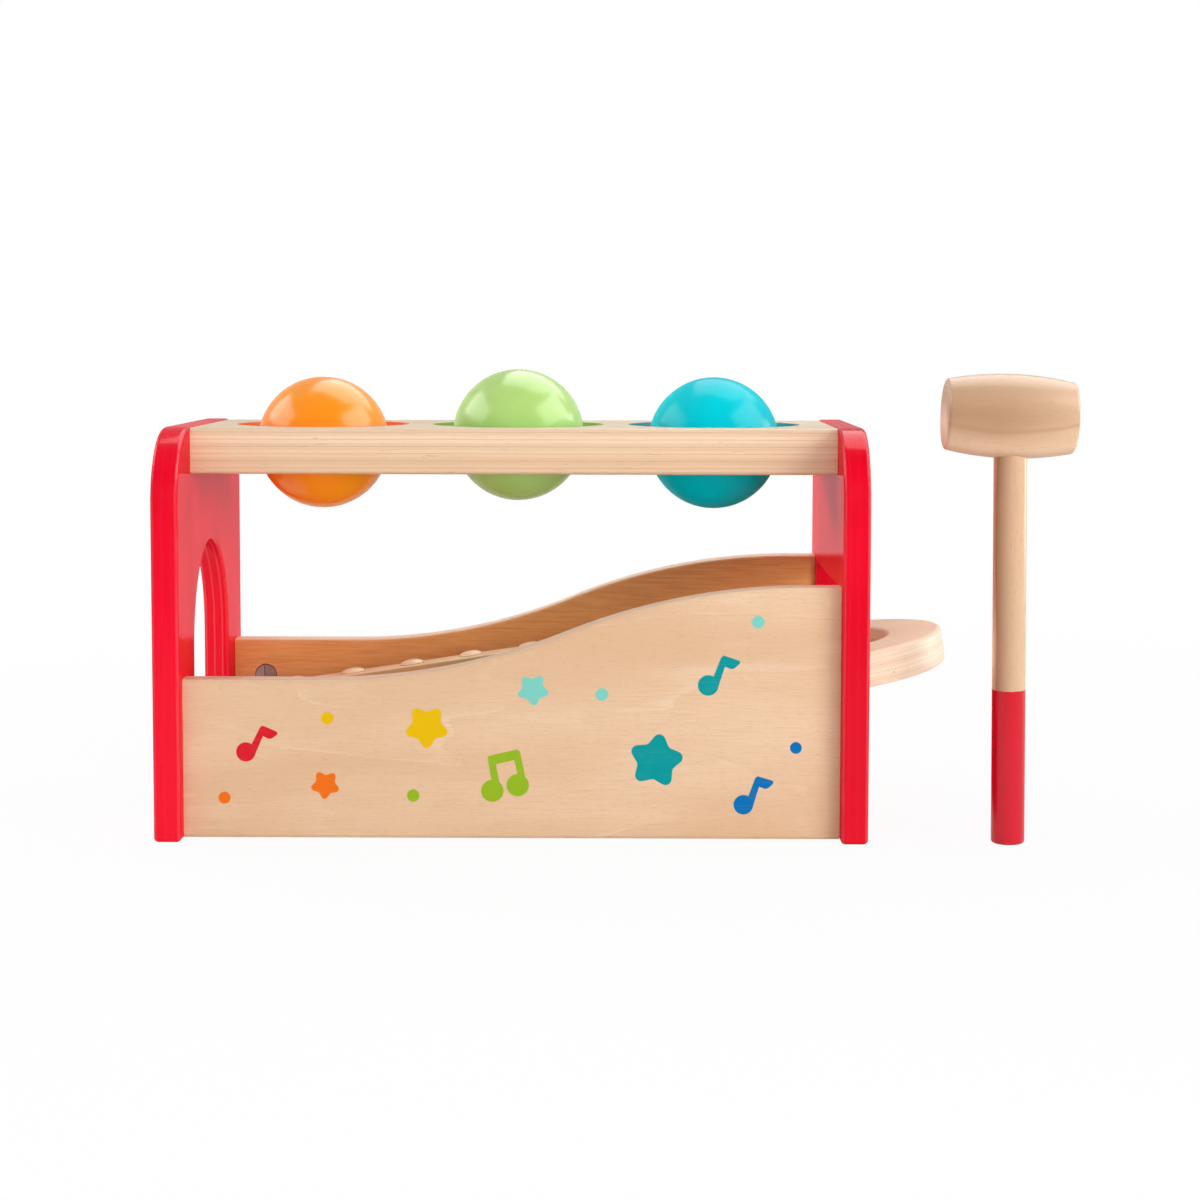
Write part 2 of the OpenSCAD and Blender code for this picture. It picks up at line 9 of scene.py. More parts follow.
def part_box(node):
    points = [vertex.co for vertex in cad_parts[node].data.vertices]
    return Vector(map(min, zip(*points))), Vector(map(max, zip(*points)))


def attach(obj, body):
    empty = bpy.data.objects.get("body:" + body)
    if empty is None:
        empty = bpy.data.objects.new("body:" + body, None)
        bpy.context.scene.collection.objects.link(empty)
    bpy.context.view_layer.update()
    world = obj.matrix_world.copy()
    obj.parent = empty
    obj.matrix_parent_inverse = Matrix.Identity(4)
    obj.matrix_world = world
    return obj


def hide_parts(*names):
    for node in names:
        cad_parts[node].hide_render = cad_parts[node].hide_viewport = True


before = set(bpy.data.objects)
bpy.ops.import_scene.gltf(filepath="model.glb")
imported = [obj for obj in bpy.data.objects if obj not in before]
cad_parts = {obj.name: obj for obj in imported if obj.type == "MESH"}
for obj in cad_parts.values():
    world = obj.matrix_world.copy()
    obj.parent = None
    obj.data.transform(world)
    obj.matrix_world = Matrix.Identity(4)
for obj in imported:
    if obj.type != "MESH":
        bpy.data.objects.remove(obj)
scene = bpy.context.scene
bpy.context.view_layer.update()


def shift(x=0, y=0, z=0):
    return Matrix.Translation((x, y, z))


def turned(angle):
    return Matrix.Rotation(radians(angle), 4, "Y")


def axes(right, up, out):
    return Matrix((right, up, out)).transposed().to_4x4()


# sizes that several pieces share, in millimetres on the bench
bench = dict(length=235, height=136, endThick=9, innerX=108.5, innerY=50, boardLow=120.1, boardThick=15.5,
             slope=8.5, slopeZ=27)
mm = 0.001
nearLow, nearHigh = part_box("left_end_panel")
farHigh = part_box("right_end_panel")[1]
benchPlace = shift((nearLow.x + farHigh.x) / 2, (nearLow.y + nearHigh.y) / 2) @ Matrix.Scale(mm, 4)
slopePlace = benchPlace @ shift(-bench["innerX"], 0, bench["slopeZ"]) @ turned(-bench["slope"])
# flat drawings stood up across the length, or facing the front
crosswise = axes((0, 1, 0), (0, 0, 1), (1, 0, 0))
frontwise = axes((1, 0, 0), (0, 0, 1), (0, -1, 0))


def tone(red, green, blue):
    # screen colour to the renderer's linear one
    def linear(value):
        value /= 255
        return value / 12.92 if value <= 0.04045 else ((value + 0.055) / 1.055) ** 2.4
    return (linear(red), linear(green), linear(blue), 1.0)


# drawing helpers: loops are lists of 2-D points in millimetres

tiny = 1e-4


def quarter(steps):
    return [pi / 2 * k / steps for k in range(steps + 1)]


def arc(x, y, radius, start, sweep, steps):
    turns = [start + sweep * k / steps for k in range(steps + 1)]
    return [Vector((x + radius * cos(a), y + radius * sin(a))) for a in turns]


def circle(x, y, radius, steps):
    return arc(x, y, radius, 0, 2 * pi, steps)[:-1]


def rounded(corners, step=9):
    # closed path through (x, y) or (x, y, radius)
    loop = []
    for index, corner in enumerate(corners):
        here = Vector(corner[:2])
        radius = corner[2] if len(corner) > 2 else 0
        if not radius:
            loop.append(here)
            continue
        back = (Vector(corners[index - 1][:2]) - here).normalized()
        ahead = (Vector(corners[(index + 1) % len(corners)][:2]) - here).normalized()
        bend = pi - back.angle(ahead)
        centre = here + (back + ahead).normalized() * (radius / cos(bend / 2))
        start = here + back * (radius * tan(bend / 2)) - centre
        side = 1 if back.y * ahead.x - back.x * ahead.y > 0 else -1
        pieces = max(2, ceil(degrees(bend) / step))
        for k in range(pieces + 1):
            loop.append(centre + Matrix.Rotation(side * bend * k / pieces, 2) @ start)
    return [p for p, before in zip(loop, loop[-1:] + loop[:-1]) if (p - before).length > tiny]


def box(x0, y0, x1, y1, radius=0):
    return rounded([(x0, y0, radius), (x1, y0, radius), (x1, y1, radius), (x0, y1, radius)])


def flip(corners):
    # mirror image across the first axis, still drawn the same way round
    return [(-corner[0], *corner[1:]) for corner in reversed(corners)]


def leftOf(loop, reach, sharpest=0.3):
    # loop moved to its left with mitred corners
    moved = []
    for before, here, after in zip(loop[-1:] + loop[:-1], loop, loop[1:] + loop[:1]):
        first, second = (here - before).normalized(), (after - here).normalized()
        left, other = Vector((-first.y, first.x)), Vector((-second.y, second.x))
        moved.append(here + (left + other) * (reach / max(sharpest, 1 + left.dot(other))))
    return moved


def bridge(mesh, rows):
    for low, high in zip(rows, rows[1:]):
        for i in range(len(low)):
            j = (i + 1) % len(low)
            mesh.faces.new((low[i], low[j], high[j], high[i]))


def bore(x, y, steps, *levels):
    # round hole through (radius, height), the first one on a face of the plate
    return [(circle(x, y, radius, steps), height) for radius, height in levels]


def plate(loops, thick, edges, bores=(), rings=4, ends=None):
    # closed board from 0 to thick: first loop is the outline, the rest are openings drawn the other
    # way round; its edges are rounded, but run straight out at the ends if their distance is given
    mesh = bmesh.new()
    caps = ([], [])
    for loop, edge in zip(loops, edges):
        rise = [(edge * (1 - sin(a)), edge * (1 - cos(a))) for a in quarter(rings)]
        rows = []
        for inset, height in rise + [(inset, thick - height) for inset, height in reversed(rise)]:
            spots = [Vector((p.x, q.y)) if ends and abs(abs(p.x) - ends) < tiny else q
                     for p, q in zip(loop, leftOf(loop, inset))]
            rows.append([mesh.verts.new((p.x, p.y, height)) for p in spots])
        bridge(mesh, rows)
        caps[0].append(rows[0])
        caps[1].append(rows[-1])
    for hole in bores:
        rows = [[mesh.verts.new((p.x, p.y, height)) for p in loop] for loop, height in hole]
        bridge(mesh, rows)
        caps[0 if hole[0][1] < thick / 2 else 1].append(rows[0])
        if hole[-1][1] in (0, thick):
            caps[0 if hole[-1][1] == 0 else 1].append(rows[-1])
        else:
            mesh.faces.new(rows[-1])
    for cap in caps:
        verts = [vert for row in cap for vert in row]
        for triangle in tessellate_polygon([[vert.co for vert in row] for row in cap]):
            mesh.faces.new([verts[i] for i in triangle])
    return mesh


def lathe(profile, steps, closed=False, mesh=None):
    # (radius, height) turned about the third axis, in a mesh of its own unless one is given
    mesh = mesh or bmesh.new()
    rows = []
    for radius, height in profile:
        points = circle(0, 0, radius, steps) if radius > tiny else [Vector((0, 0))]
        rows.append([mesh.verts.new((p.x, p.y, height)) for p in points])
    for low, high in zip(rows, rows[1:] + (rows[:1] if closed else [])):
        for i in range(steps):
            j = (i + 1) % steps
            if len(low) == 1:
                mesh.faces.new((low[0], high[j], high[i]))
            elif len(high) == 1:
                mesh.faces.new((low[i], low[j], high[0]))
            else:
                mesh.faces.new((low[i], low[j], high[j], high[i]))
    return mesh


def stand(name, data):
    item = bpy.data.objects.new(name, data)
    scene.collection.objects.link(item)
    return item


def plain(item):
    # what the modifiers make becomes the object's own mesh
    seen = bpy.context.evaluated_depsgraph_get()
    data = bpy.data.meshes.new_from_object(item.evaluated_get(seen))
    item.modifiers.clear()
    item.data = data


def shaped(name, mesh, place):
    bmesh.ops.transform(mesh, matrix=place, verts=mesh.verts)
    bmesh.ops.recalc_face_normals(mesh, faces=mesh.faces)
    data = bpy.data.meshes.new(name)
    mesh.to_mesh(data)
    mesh.free()
    return stand(name, data)


def settle(item, finish, body, node=None, slot=None, sharp=35):
    item.data.shade_smooth()
    item.data.set_sharp_from_angle(angle=radians(sharp))
    item.modifiers.new("evenShading", "WEIGHTED_NORMAL").keep_sharp = True
    plain(item)
    item.data.materials.clear()
    item.data.materials.append(finish)
    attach(item, body)
    if node:
        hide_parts(node)


def piece(name, mesh, place, *dress):
    settle(shaped(name, mesh, place), *dress)


# node helpers

def operator(operation, swapped=False):
    def apply(self, value):
        return self.graph.maths(operation, *((value, self) if swapped else (self, value)))
    return apply


class Wire:
    # a value in a node tree that takes part in plain arithmetic
    def __init__(self, graph, node, socket):
        self.graph, self.node, self.socket = graph, node, socket

    def other(self, name):
        return Wire(self.graph, self.node, pick(self.node.outputs, name))

    def __abs__(self):
        return self.graph.maths("ABSOLUTE", self)

    __add__, __radd__ = operator("ADD"), operator("ADD", True)
    __sub__, __rsub__ = operator("SUBTRACT"), operator("SUBTRACT", True)
    __mul__, __rmul__ = operator("MULTIPLY"), operator("MULTIPLY", True)
    __truediv__, __pow__ = operator("DIVIDE"), operator("POWER")


def pick(sockets, key):
    if isinstance(key, int):
        return sockets[key]
    return [socket for socket in sockets if socket.name == key and socket.enabled][0]


class Graph:
    def __init__(self, tree):
        self.tree = tree

    def add(self, kind, inputs=(), out=0, **settings):
        node = self.tree.nodes.new(kind)
        for name, value in settings.items():
            setattr(node, name, value)
        for key, value in dict(inputs).items():
            if isinstance(value, Wire):
                self.tree.links.new(value.socket, pick(node.inputs, key))
            else:
                pick(node.inputs, key).default_value = value
        return Wire(self, node, pick(node.outputs, out) if len(node.outputs) else None)

    def maths(self, operation, *values):
        return self.add("ShaderNodeMath", enumerate(values), operation=operation)

    def ramp(self, value, low, high, first=0.0, second=1.0):
        return self.add("ShaderNodeMapRange", {
            "Value": value, "From Min": low, "From Max": high, "To Min": first, "To Max": second},
            interpolation_type="SMOOTHSTEP")


def emptied(owner):
    owner.use_nodes = True
    owner.node_tree.nodes.clear()
    return owner.node_tree


class Finish(Graph):
    # a material measured in millimetres on the bench, or up the slope from the xylophone's low end
    def __init__(self, name, sloped=False):
        self.material = bpy.data.materials.new(name)
        super().__init__(emptied(self.material))
        local = (slopePlace if sloped else benchPlace).inverted()
        spot = self.add("ShaderNodeTexCoord", out="Object")
        self.spot = self.add("ShaderNodeMapping", {
            "Vector": spot, "Location": local.to_translation(), "Rotation": local.to_euler(),
            "Scale": local.to_scale()})
        parts = self.add("ShaderNodeSeparateXYZ", {0: self.spot})
        self.x, self.y, self.z = parts.other("X"), parts.other("Y"), parts.other("Z")
        self.normal = spot.other("Normal")
        self.turn = local.to_3x3().normalized().inverted()

    def facing(self, *direction):
        # 1 where the surface faces along the direction or against it
        aim = self.turn @ Vector(direction)
        along = self.add("ShaderNodeVectorMath", {0: self.normal, 1: aim}, "Value", operation="DOT_PRODUCT")
        return abs(along)

    def noise(self, stretch, seed, detail=2, rough=0.5, warp=0):
        spot = self.add("ShaderNodeVectorMath", {
            0: self.spot, 1: stretch, 2: (seed, seed * 1.7, seed * 0.6)}, operation="MULTIPLY_ADD")
        return self.add("ShaderNodeTexNoise", {
            "Vector": spot, "Scale": 1.0, "Detail": detail, "Roughness": rough, "Distortion": warp})

    def line(self, value, width):
        # thin line wherever the value passes a half step
        return 1 - self.ramp(abs(self.maths("FRACT", value) - 0.5), width * 0.35, width)

    def paint(self, colour, *coats):
        # coats of (cover, tint) one over the other, with plain tints as on a screen
        for cover, tint in coats:
            under, over = [value if isinstance(value, Wire) else tone(*value) for value in (colour, tint)]
            colour = self.add("ShaderNodeMix", {0: cover, 6: under, 7: over}, 2, data_type="RGBA")
        return colour

    def done(self, colour, rough, height, depth, coat=None, **values):
        # coat: weight and roughness of a clear coat that carries all the shine
        inputs = {"Base Color": colour, "Roughness": rough}
        if coat:
            inputs.update({"Specular IOR Level": 0.0, "Coat Weight": coat[0], "Coat Roughness": coat[1]})
        inputs.update({name.replace("_", " "): value for name, value in values.items()})
        bump = {"Height": height, "Distance": depth * mm, "Strength": 1.0}
        inputs["Normal"] = self.add("ShaderNodeBump", bump)
        self.add("ShaderNodeOutputMaterial", {"Surface": self.add("ShaderNodeBsdfPrincipled", inputs)})
        return self.material


# finishes

# the inside tones are painted shade: browner colours for veneer faces that lie in shade inside the bench
birch = dict(pale=(229, 196, 164), warm=(217, 179, 143), streak=(237, 212, 186), fleck=(190, 144, 106),
             edge=(238, 208, 177), plyDark=(209, 167, 129), glue=(180, 135, 97), inside=(228, 164, 104),
             shadedInsideDark=(214, 146, 86))
# a paler, lit copy of birch for the xylophone's base: painted light
litBirch = dict(birch, pale=(250, 236, 206), warm=(244, 224, 188), edge=(242, 222, 198),
                 plyDark=(222, 187, 152))
# a darker, shaded copy of birch for the top board: painted shade
shadedBirch = dict(birch, pale=(215, 191, 158), warm=(204, 177, 143), streak=(223, 202, 173))


def plywood(name, layer, across, seed, gloss, sloped=False, lines=0.4, inner=False, fade=None, wood=birch):
    # veneer with its grain along the first axis, layers showing where the surface turns off its face
    f = Finish(name, sloped)
    thick, wide, out = (f.y, f.z, (0, 1, 0)) if across == "y" else (f.z, f.y, (0, 0, 1))
    broad = f.noise((0.008, 0.03, 0.03), seed, warp=0.4)
    fibre = f.noise((0.06, 1.3, 1.3), seed + 3, 4, 0.65)
    hair = f.ramp(f.noise((0.11, 3.2, 3.2), seed + 15, 3, 0.6), 0.47, 0.68)
    fleck = f.ramp(f.noise((0.35, 2.3, 2.3), seed + 7, 2, 0.55), 0.56, 0.7)
    ring = f.maths("FRACT", wide / 40 + 8 * f.noise((0.0055, 0.021, 0.021), seed + 11, 3, 0.5, 0.3))
    broken = f.ramp(f.noise((0.03, 0.07, 0.07), seed + 19), 0.36, 0.6)
    colour = f.paint(wood["pale"], (f.ramp(broad, 0.32, 0.68), wood["warm"]),
                     (0.25 * ring ** 3, wood["warm"]),
                     (0.3 * broken * (1 - f.ramp(ring, 0.02, 0.18)), wood["streak"]),
                     (0.3 * hair, wood["plyDark"]), (0.4 * f.ramp(fibre, 0.46, 0.72), wood["warm"]),
                     (0.24 * fleck, wood["fleck"]))
    if inner:
        # painted shade: faces that look inward get a browner veneer colour, as they lie in shade inside the
        # bench
        side = f.add("ShaderNodeSeparateXYZ", {0: f.normal}, "Y") * f.y
        shadedBrown = f.paint(wood["inside"], (f.ramp(fibre, 0.35, 0.7), wood["shadedInsideDark"]))
        colour = f.paint(colour, (1 - f.ramp(side, -45, -25), shadedBrown))
    wobble = thick / layer + 0.12 * f.noise((0.02, 0.05, 0.05), seed + 5)
    odd = f.ramp(abs(f.maths("FRACT", wobble / 2) - 0.5), 0.22, 0.28)
    pores = f.ramp(f.noise((1.1, 2.2, 2.2), seed + 9, 3, 0.6), 0.5, 0.8)
    streaks = f.ramp(f.noise((0.03, 2.4, 2.4), seed + 13, 4, 0.65), 0.48, 0.7)
    marks = f.ramp(f.noise((0.12, 1.1, 1.1), seed + 17, 2, 0.5, 0.5), 0.68, 0.76)
    edge = f.paint(wood["edge"], (0.3 * odd, wood["plyDark"]),
                   (0.2 * pores + 0.35 * streaks, wood["plyDark"]), (0.5 * marks, wood["glue"]))
    if fade:
        # painted shade: lower layers are darker, as less light reaches them from above
        edge = f.paint(edge, (0.5 * (1 - f.ramp(thick, *fade)), wood["plyDark"]))
    edge = f.paint(edge, (lines * f.line(wobble + 0.5, 0.07), wood["glue"]))
    layers = 1 - f.ramp(f.facing(*out), 0.55, 0.9)
    rough = 0.5 + 0.12 * fibre + 0.06 * layers
    return f.done(f.paint(colour, (layers, edge)), rough, fibre - 0.6 * fleck, 0.05, (gloss, 0.36))


def lacquer(name, base, dark, rim, seed, layer=2.9, reveal=(35, 37)):
    # sprayed paint over layered wood: upright grain shows through; the pale rim colour on the edges is partly
    # rubbed paint and partly painted highlight, and pale layer lines on edges nearer the middle than the
    # reveal are painted highlight lines
    f = Finish(name)
    broad = f.noise((0.02, 0.02, 0.012), seed, warp=0.3)
    grain = f.noise((1.3, 1.3, 0.05), seed + 2, 4, 0.6)
    speck = f.ramp(f.noise((1.5, 1.5, 0.9), seed + 4), 0.62, 0.74)
    flat = f.facing(1, 0, 0)
    edge = f.ramp(flat, 0.2, 0.5) * (1 - f.ramp(flat, 0.8, 0.97))
    cut = 1 - f.ramp(flat, 0.3, 0.7)
    highlitReveal = cut * (1 - f.ramp(abs(f.y), *reveal))
    layers = f.line(abs(f.x) / layer + 0.25 + 0.15 * f.noise((0.1, 0.06, 0.06), seed + 6), 0.13)
    # painted highlight and rubbed paint along the edges, light specks, and painted highlight lines on the
    # reveal
    rubAndHighlight = 0.32 * edge * f.ramp(grain, 0.25, 0.6) + 0.08 * speck + (0.03 * cut + 0.37 * highlitReveal) * layers
    colour = f.paint(base, (f.ramp(broad, 0.3, 0.72), dark),
                     ((0.25 + 0.3 * cut) * f.ramp(grain, 0.48, 0.76), dark), (rubAndHighlight, rim))
    return f.done(colour, 0.5 + 0.2 * grain, grain + 0.8 * speck, 0.035, (0.26, 0.14))


def satin(name, tones, peel, seed, coat):
    # smooth coat with a faint orange-peel skin and tiny flecks
    f = Finish(name)
    base, dark, light = tones
    broad = f.noise((0.05, 0.05, 0.05), seed, warp=0.3)
    skin = f.noise((peel, peel, peel), seed + 1)
    speck = f.ramp(f.noise((1.9, 1.9, 1.9), seed + 5, 1, 0.4), 0.74, 0.82)
    colour = f.paint(base, (f.ramp(broad, 0.3, 0.7), dark),
                     (0.12 * f.ramp(skin, 0.4, 0.8) + 0.15 * speck, light))
    return f.done(colour, 0.42 + 0.1 * broad, skin, 0.02, coat)


solidWood = dict(pale=(230, 197, 166), warm=(222, 187, 154), ring=(153, 107, 71), line=(164, 118, 82),
                 fibre=(196, 152, 114), fleck=(168, 122, 86))


def turnedWood(name, along, rings, dip=None):
    # solid wood with growth rings about a line beside the piece, each darkening from its line and
    # paling beyond; a dip of paint covers it below a height
    f = Finish(name)
    wood = solidWood
    first, second, third = (f.y, f.z, f.x) if along == "x" else (f.x, f.y, f.z)

    def grain(length, width):
        return (length, width, width) if along == "x" else (width, width, length)

    swell = f.noise(grain(0.014, 0.05), 4, warp=0.2)
    rise = second - rings["middle"][1] - rings["slant"] * (third - rings["fade"][0])
    away = f.maths("SQRT", (first - rings["middle"][0]) ** 2 + rise ** 2)
    reach = (away - rings["at"]) / rings["wide"] + 0.35 * (swell - 0.5)
    beyond = f.maths("FRACT", reach)
    ring = (1 - beyond) * f.ramp(beyond, 0.0, rings["peak"]) * (1 - 0.6 * f.ramp(third, *rings["fade"]))
    fibre = f.noise(grain(0.07, 1.5), 8, 4, 0.65)
    fleck = f.ramp(f.noise(grain(0.4, 2.6), 12, 2, 0.55), 0.57, 0.7)
    colour = f.paint(wood["pale"], (f.ramp(swell, 0.3, 0.7), wood["warm"]),
                     (rings["dark"] * ring, wood["ring"]),
                     (0.3 * f.line(reach + rings["line"], 0.035), wood["line"]),
                     (0.3 * f.ramp(fibre, 0.45, 0.75), wood["fibre"]), (0.22 * fleck, wood["fleck"]))
    rough, height, gloss = 0.46 + 0.12 * fibre, fibre - 0.5 * fleck, 0.5
    if dip:
        rim = third + 0.5 * (f.noise((0.35, 0.35, 0.1), 3) - 0.5)
        cover = 1 - f.ramp(rim, dip["top"] - dip["soft"], dip["top"] + dip["soft"])
        coat = f.paint(dip["base"], (0.4 * f.ramp(fibre, 0.45, 0.8), dip["dark"]))
        colour = f.paint(colour, (cover, coat))
        rough, height, gloss = rough + 0.12 * cover, height * (1 - 0.6 * cover), 0.4 + 0.35 * cover
    return f.done(colour, rough, height, 0.05, (gloss, rings["coatRough"]))


def beech(name, sloped=False):
    f = Finish(name, sloped)
    broad = f.noise((0.01, 0.08, 0.08), 2, warp=0.3)
    fibre = f.noise((0.04, 1.8, 1.8), 5, 4, 0.6)
    fleck = f.ramp(f.noise((0.4, 5, 5), 9), 0.58, 0.7)
    colour = f.paint((226, 184, 144), (f.ramp(broad, 0.3, 0.7), (212, 166, 124)),
                     (0.3 * fibre, (198, 150, 108)), (0.5 * fleck, (168, 116, 78)))
    return f.done(colour, 0.5 + 0.1 * fibre, fibre - 0.5 * fleck, 0.05)


def wool(name):
    f = Finish(name, True)
    mat = f.noise((0.9, 0.9, 0.9), 0, 5, 0.75, 1.5)
    hair = f.noise((0.5, 3.5, 3.5), 6, 4, 0.7, 2.5)
    colour = f.paint((146, 141, 133), (f.ramp(mat, 0.3, 0.7), (112, 108, 102)),
                     (0.4 * f.ramp(hair, 0.55, 0.75), (176, 170, 160)))
    return f.done(colour, 0.95, mat + 0.6 * hair, 0.25, Sheen_Weight=0.3, Specular_IOR_Level=0.2)


def zinc(name):
    f = Finish(name)
    cloud = f.noise((0.6, 0.6, 0.6), 0, 3, 0.6, 0.5)
    brush = f.noise((3, 3, 0.8), 4, 3, 0.6)
    colour = f.paint((196, 197, 200), (cloud, (166, 167, 172)))
    return f.done(colour, 0.26 + 0.2 * brush, brush, 0.015, Metallic=1.0)


def enamel(name, base, dark, light, seed):
    # paint on metal, a little darker in patches, brighter at the rim
    f = Finish(name, True)
    broad = f.noise((0.05, 0.03, 0.05), seed, warp=0.3)
    skin = f.noise((0.8, 0.8, 0.8), seed + 1)
    edge = 1 - f.ramp(f.facing(0, 0, 1), 0.6, 0.95)
    colour = f.paint(base, (f.ramp(broad, 0.3, 0.7), dark), (0.3 * edge + 0.08 * skin, light))
    return f.done(colour, 0.36 + 0.1 * skin, skin, 0.02, (0.14, 0.22))


def moulded(name):
    # painted shade: pale on top, browner down the sides
    f = Finish(name, True)
    broad = f.noise((0.03, 0.08, 0.08), 3, warp=0.3)
    grit = f.noise((2.5, 2.5, 2.5), 6)
    # painted shade: faces that turn away from the top are browner
    side = 1 - f.ramp(f.facing(0, 0, 1), 0.15, 0.6)
    colour = f.paint((255, 230, 194), (f.ramp(broad, 0.3, 0.7), (250, 222, 184)),
                     (0.15 * f.ramp(grit, 0.5, 0.8), (220, 182, 142)), (0.7 * side, (188, 140, 94)))
    return f.done(colour, 0.4 + 0.1 * grit, grit, 0.02, (0.4, 0.3))


def ink(name, base, seed):
    # printed colour that lets a little of the veneer's grain through
    f = Finish(name)
    fibre = f.noise((0.05, 1.6, 1.6), 10, 4, 0.65)
    patch = f.noise((0.25, 0.25, 0.25), seed, 3, 0.6)
    thin = 0.025 * f.ramp(fibre, 0.5, 0.75) + 0.015 * f.ramp(patch, 0.5, 0.75)
    return f.done(f.paint(base, (thin, birch["pale"])), 0.5 + 0.12 * fibre, fibre, 0.03, (0.15, 0.36))


ballTones = dict(orange=[(255, 155, 32), (253, 147, 26), (255, 166, 48)],
                 green=[(183, 220, 127), (175, 213, 119), (194, 229, 141)],
                 teal=[(0, 208, 222), (0, 200, 215), (0, 221, 231)])
ballShine = dict(orange=0.5, green=0.5, teal=0.18)
collarTones = dict(orange=[(232, 98, 28), (222, 88, 22), (244, 132, 62)],
                   green=[(122, 178, 66), (110, 168, 56), (150, 200, 98)],
                   teal=[(0, 146, 156), (0, 134, 146), (50, 176, 184)])

# inner=True paints shade on the side panels' inward faces
sideVeneer = plywood("sideVeneer", 1.8, "y", 1, 0.45, lines=0.12, inner=True)
# painted shade: the top board's veneer is a shaded copy of birch, and its lower layers darken
boardVeneer = plywood("boardVeneer", 2.4, "z", 21, 0.55, fade=(122, 133), wood=shadedBirch)
# painted light: the xylophone's base takes a paler, lit copy of birch
baseVeneer = plywood("baseVeneer", 2.4, "z", 41, 0.34, True, 0.25, wood=litBirch)
# the third colour is the rim's: rubbed paint and painted highlight
redLacquer = lacquer("redLacquer", (240, 13, 44), (216, 4, 34), (252, 104, 108), 1)
ballPaint = {colour: satin(colour + "BallPaint", tones, 0.9, 3 + 10 * index, (ballShine[colour], 0.2))
             for index, (colour, tones) in enumerate(ballTones.items())}
collarRubber = {colour: satin(colour + "CollarRubber", tones, 2.2, 33 + 10 * index, (0.15, 0.4))
                for index, (colour, tones) in enumerate(collarTones.items())}
runnerBeech = beech("runnerBeech", True)
dowelBeech = beech("dowelBeech")
greyFelt = wool("greyFelt")
zincSteel = zinc("zincSteel")
railMoulding = moulded("railMoulding")
print("finishes made")


# end panels: boards with rounded top corners, a ball arch on the left, the xylophone's gate on the right

endPanel = dict(half=65, cornerR=25, footR=1.6, edge=1.5, archR=34.5, archTop=94.5, gateHalf=48, gateLow=46.3,
                gateHigh=83.2, gateR=3, gateEdge=0.7, pocketR=4.3, pocketEdge=0.3, pocketDeep=3,
                pocketSteps=28, smooth=6)
boltSpots = [(-54.5, 39.5), (54.5, 39.5), (-26, 127.85), (26, 127.85)]


def makeEndPanels():
    e, thick = endPanel, bench["endThick"]
    half, top, arch, foot = e["half"], bench["height"], e["archR"], e["footR"]
    upper = [(half, top, e["cornerR"]), (-half, top, e["cornerR"])]
    legs = [(-half, 0, foot), (-arch, 0, foot), (-arch, e["archTop"], arch), (arch, e["archTop"], arch),
            (arch, 0, foot), (half, 0, foot)]
    gate = box(-e["gateHalf"], e["gateLow"], e["gateHalf"], e["gateHigh"], e["gateR"])[::-1]
    panels = [("archPanel", "left_end_panel", legs, [], -bench["length"] / 2, 0, 1),
              ("gatePanel", "right_end_panel", [legs[0], legs[-1]], [gate], bench["innerX"], thick, -1)]
    for name, node, lower, openings, x, face, inward in panels:
        rim, edge, deep = e["pocketR"], e["pocketEdge"], e["pocketDeep"]
        pockets = [bore(y, z, e["pocketSteps"], (rim + edge, face), (rim, face + edge * inward),
                        (rim, face + deep * inward)) for y, z in boltSpots]
        outline = rounded(lower + upper, e["smooth"])
        board = plate([outline] + openings, thick, [e["edge"], e["gateEdge"]], pockets)
        piece(name, board, benchPlace @ shift(x) @ crosswise, redLacquer, "bench", node, "red_lacquer")


# side panels, front then back: low on the left, sweeping up to the right in two tangent arcs

sidePanel = dict(thick=9, floor=0.5, lowZ=(53.4, 53), highZ=(84.4, 85), lowX=-62, highX=98, edge=1.5,
                 arcSteps=22, nutX=97, nutZ=39.5, nutR=4.1, nutDeep=7.6, nutSteps=28)


def sideOutline(lowZ, highZ):
    s, inner = sidePanel, bench["innerX"]
    rise, run = highZ - lowZ, s["highX"] - s["lowX"]
    radius = (run * run + rise * rise) / (4 * rise)
    sweep = 2 * atan(rise / run)
    upper = arc(s["highX"], highZ - radius, radius, pi / 2, sweep, s["arcSteps"])
    lower = arc(s["lowX"], lowZ + radius, radius, sweep - pi / 2, -sweep, s["arcSteps"])
    return rounded([(-inner, s["floor"]), (inner, s["floor"]), (inner, highZ)] + upper + lower[1:]
                   + [(-inner, lowZ)])


def makeSidePanels():
    s, inner, thick = sidePanel, bench["innerY"], sidePanel["thick"]
    sides = [("front", 0, 1, -inner), ("back", thick, -1, inner + thick)]
    for (side, face, inward, y), lowZ, highZ in zip(sides, s["lowZ"], s["highZ"]):
        nuts = [bore(x, s["nutZ"], s["nutSteps"], (s["nutR"], face),
                     (s["nutR"], face + inward * s["nutDeep"])) for x in (-s["nutX"], s["nutX"])]
        board = plate([sideOutline(lowZ, highZ)], thick, [s["edge"]], nuts, ends=bench["innerX"])
        piece(side + "Side", board, benchPlace @ shift(0, y) @ frontwise, sideVeneer, "bench",
              side + "_side_panel", "side_plywood")


# top board with three stepped holes for the collars

topBoard = dict(halfDepth=40, edge=1.5, pitch=68.5, seatR=30.1, seatDeep=3, holeR=26.4, holeSteps=72, nutY=26,
                nutR=4.1, nutDeep=10.8, nutSteps=28)


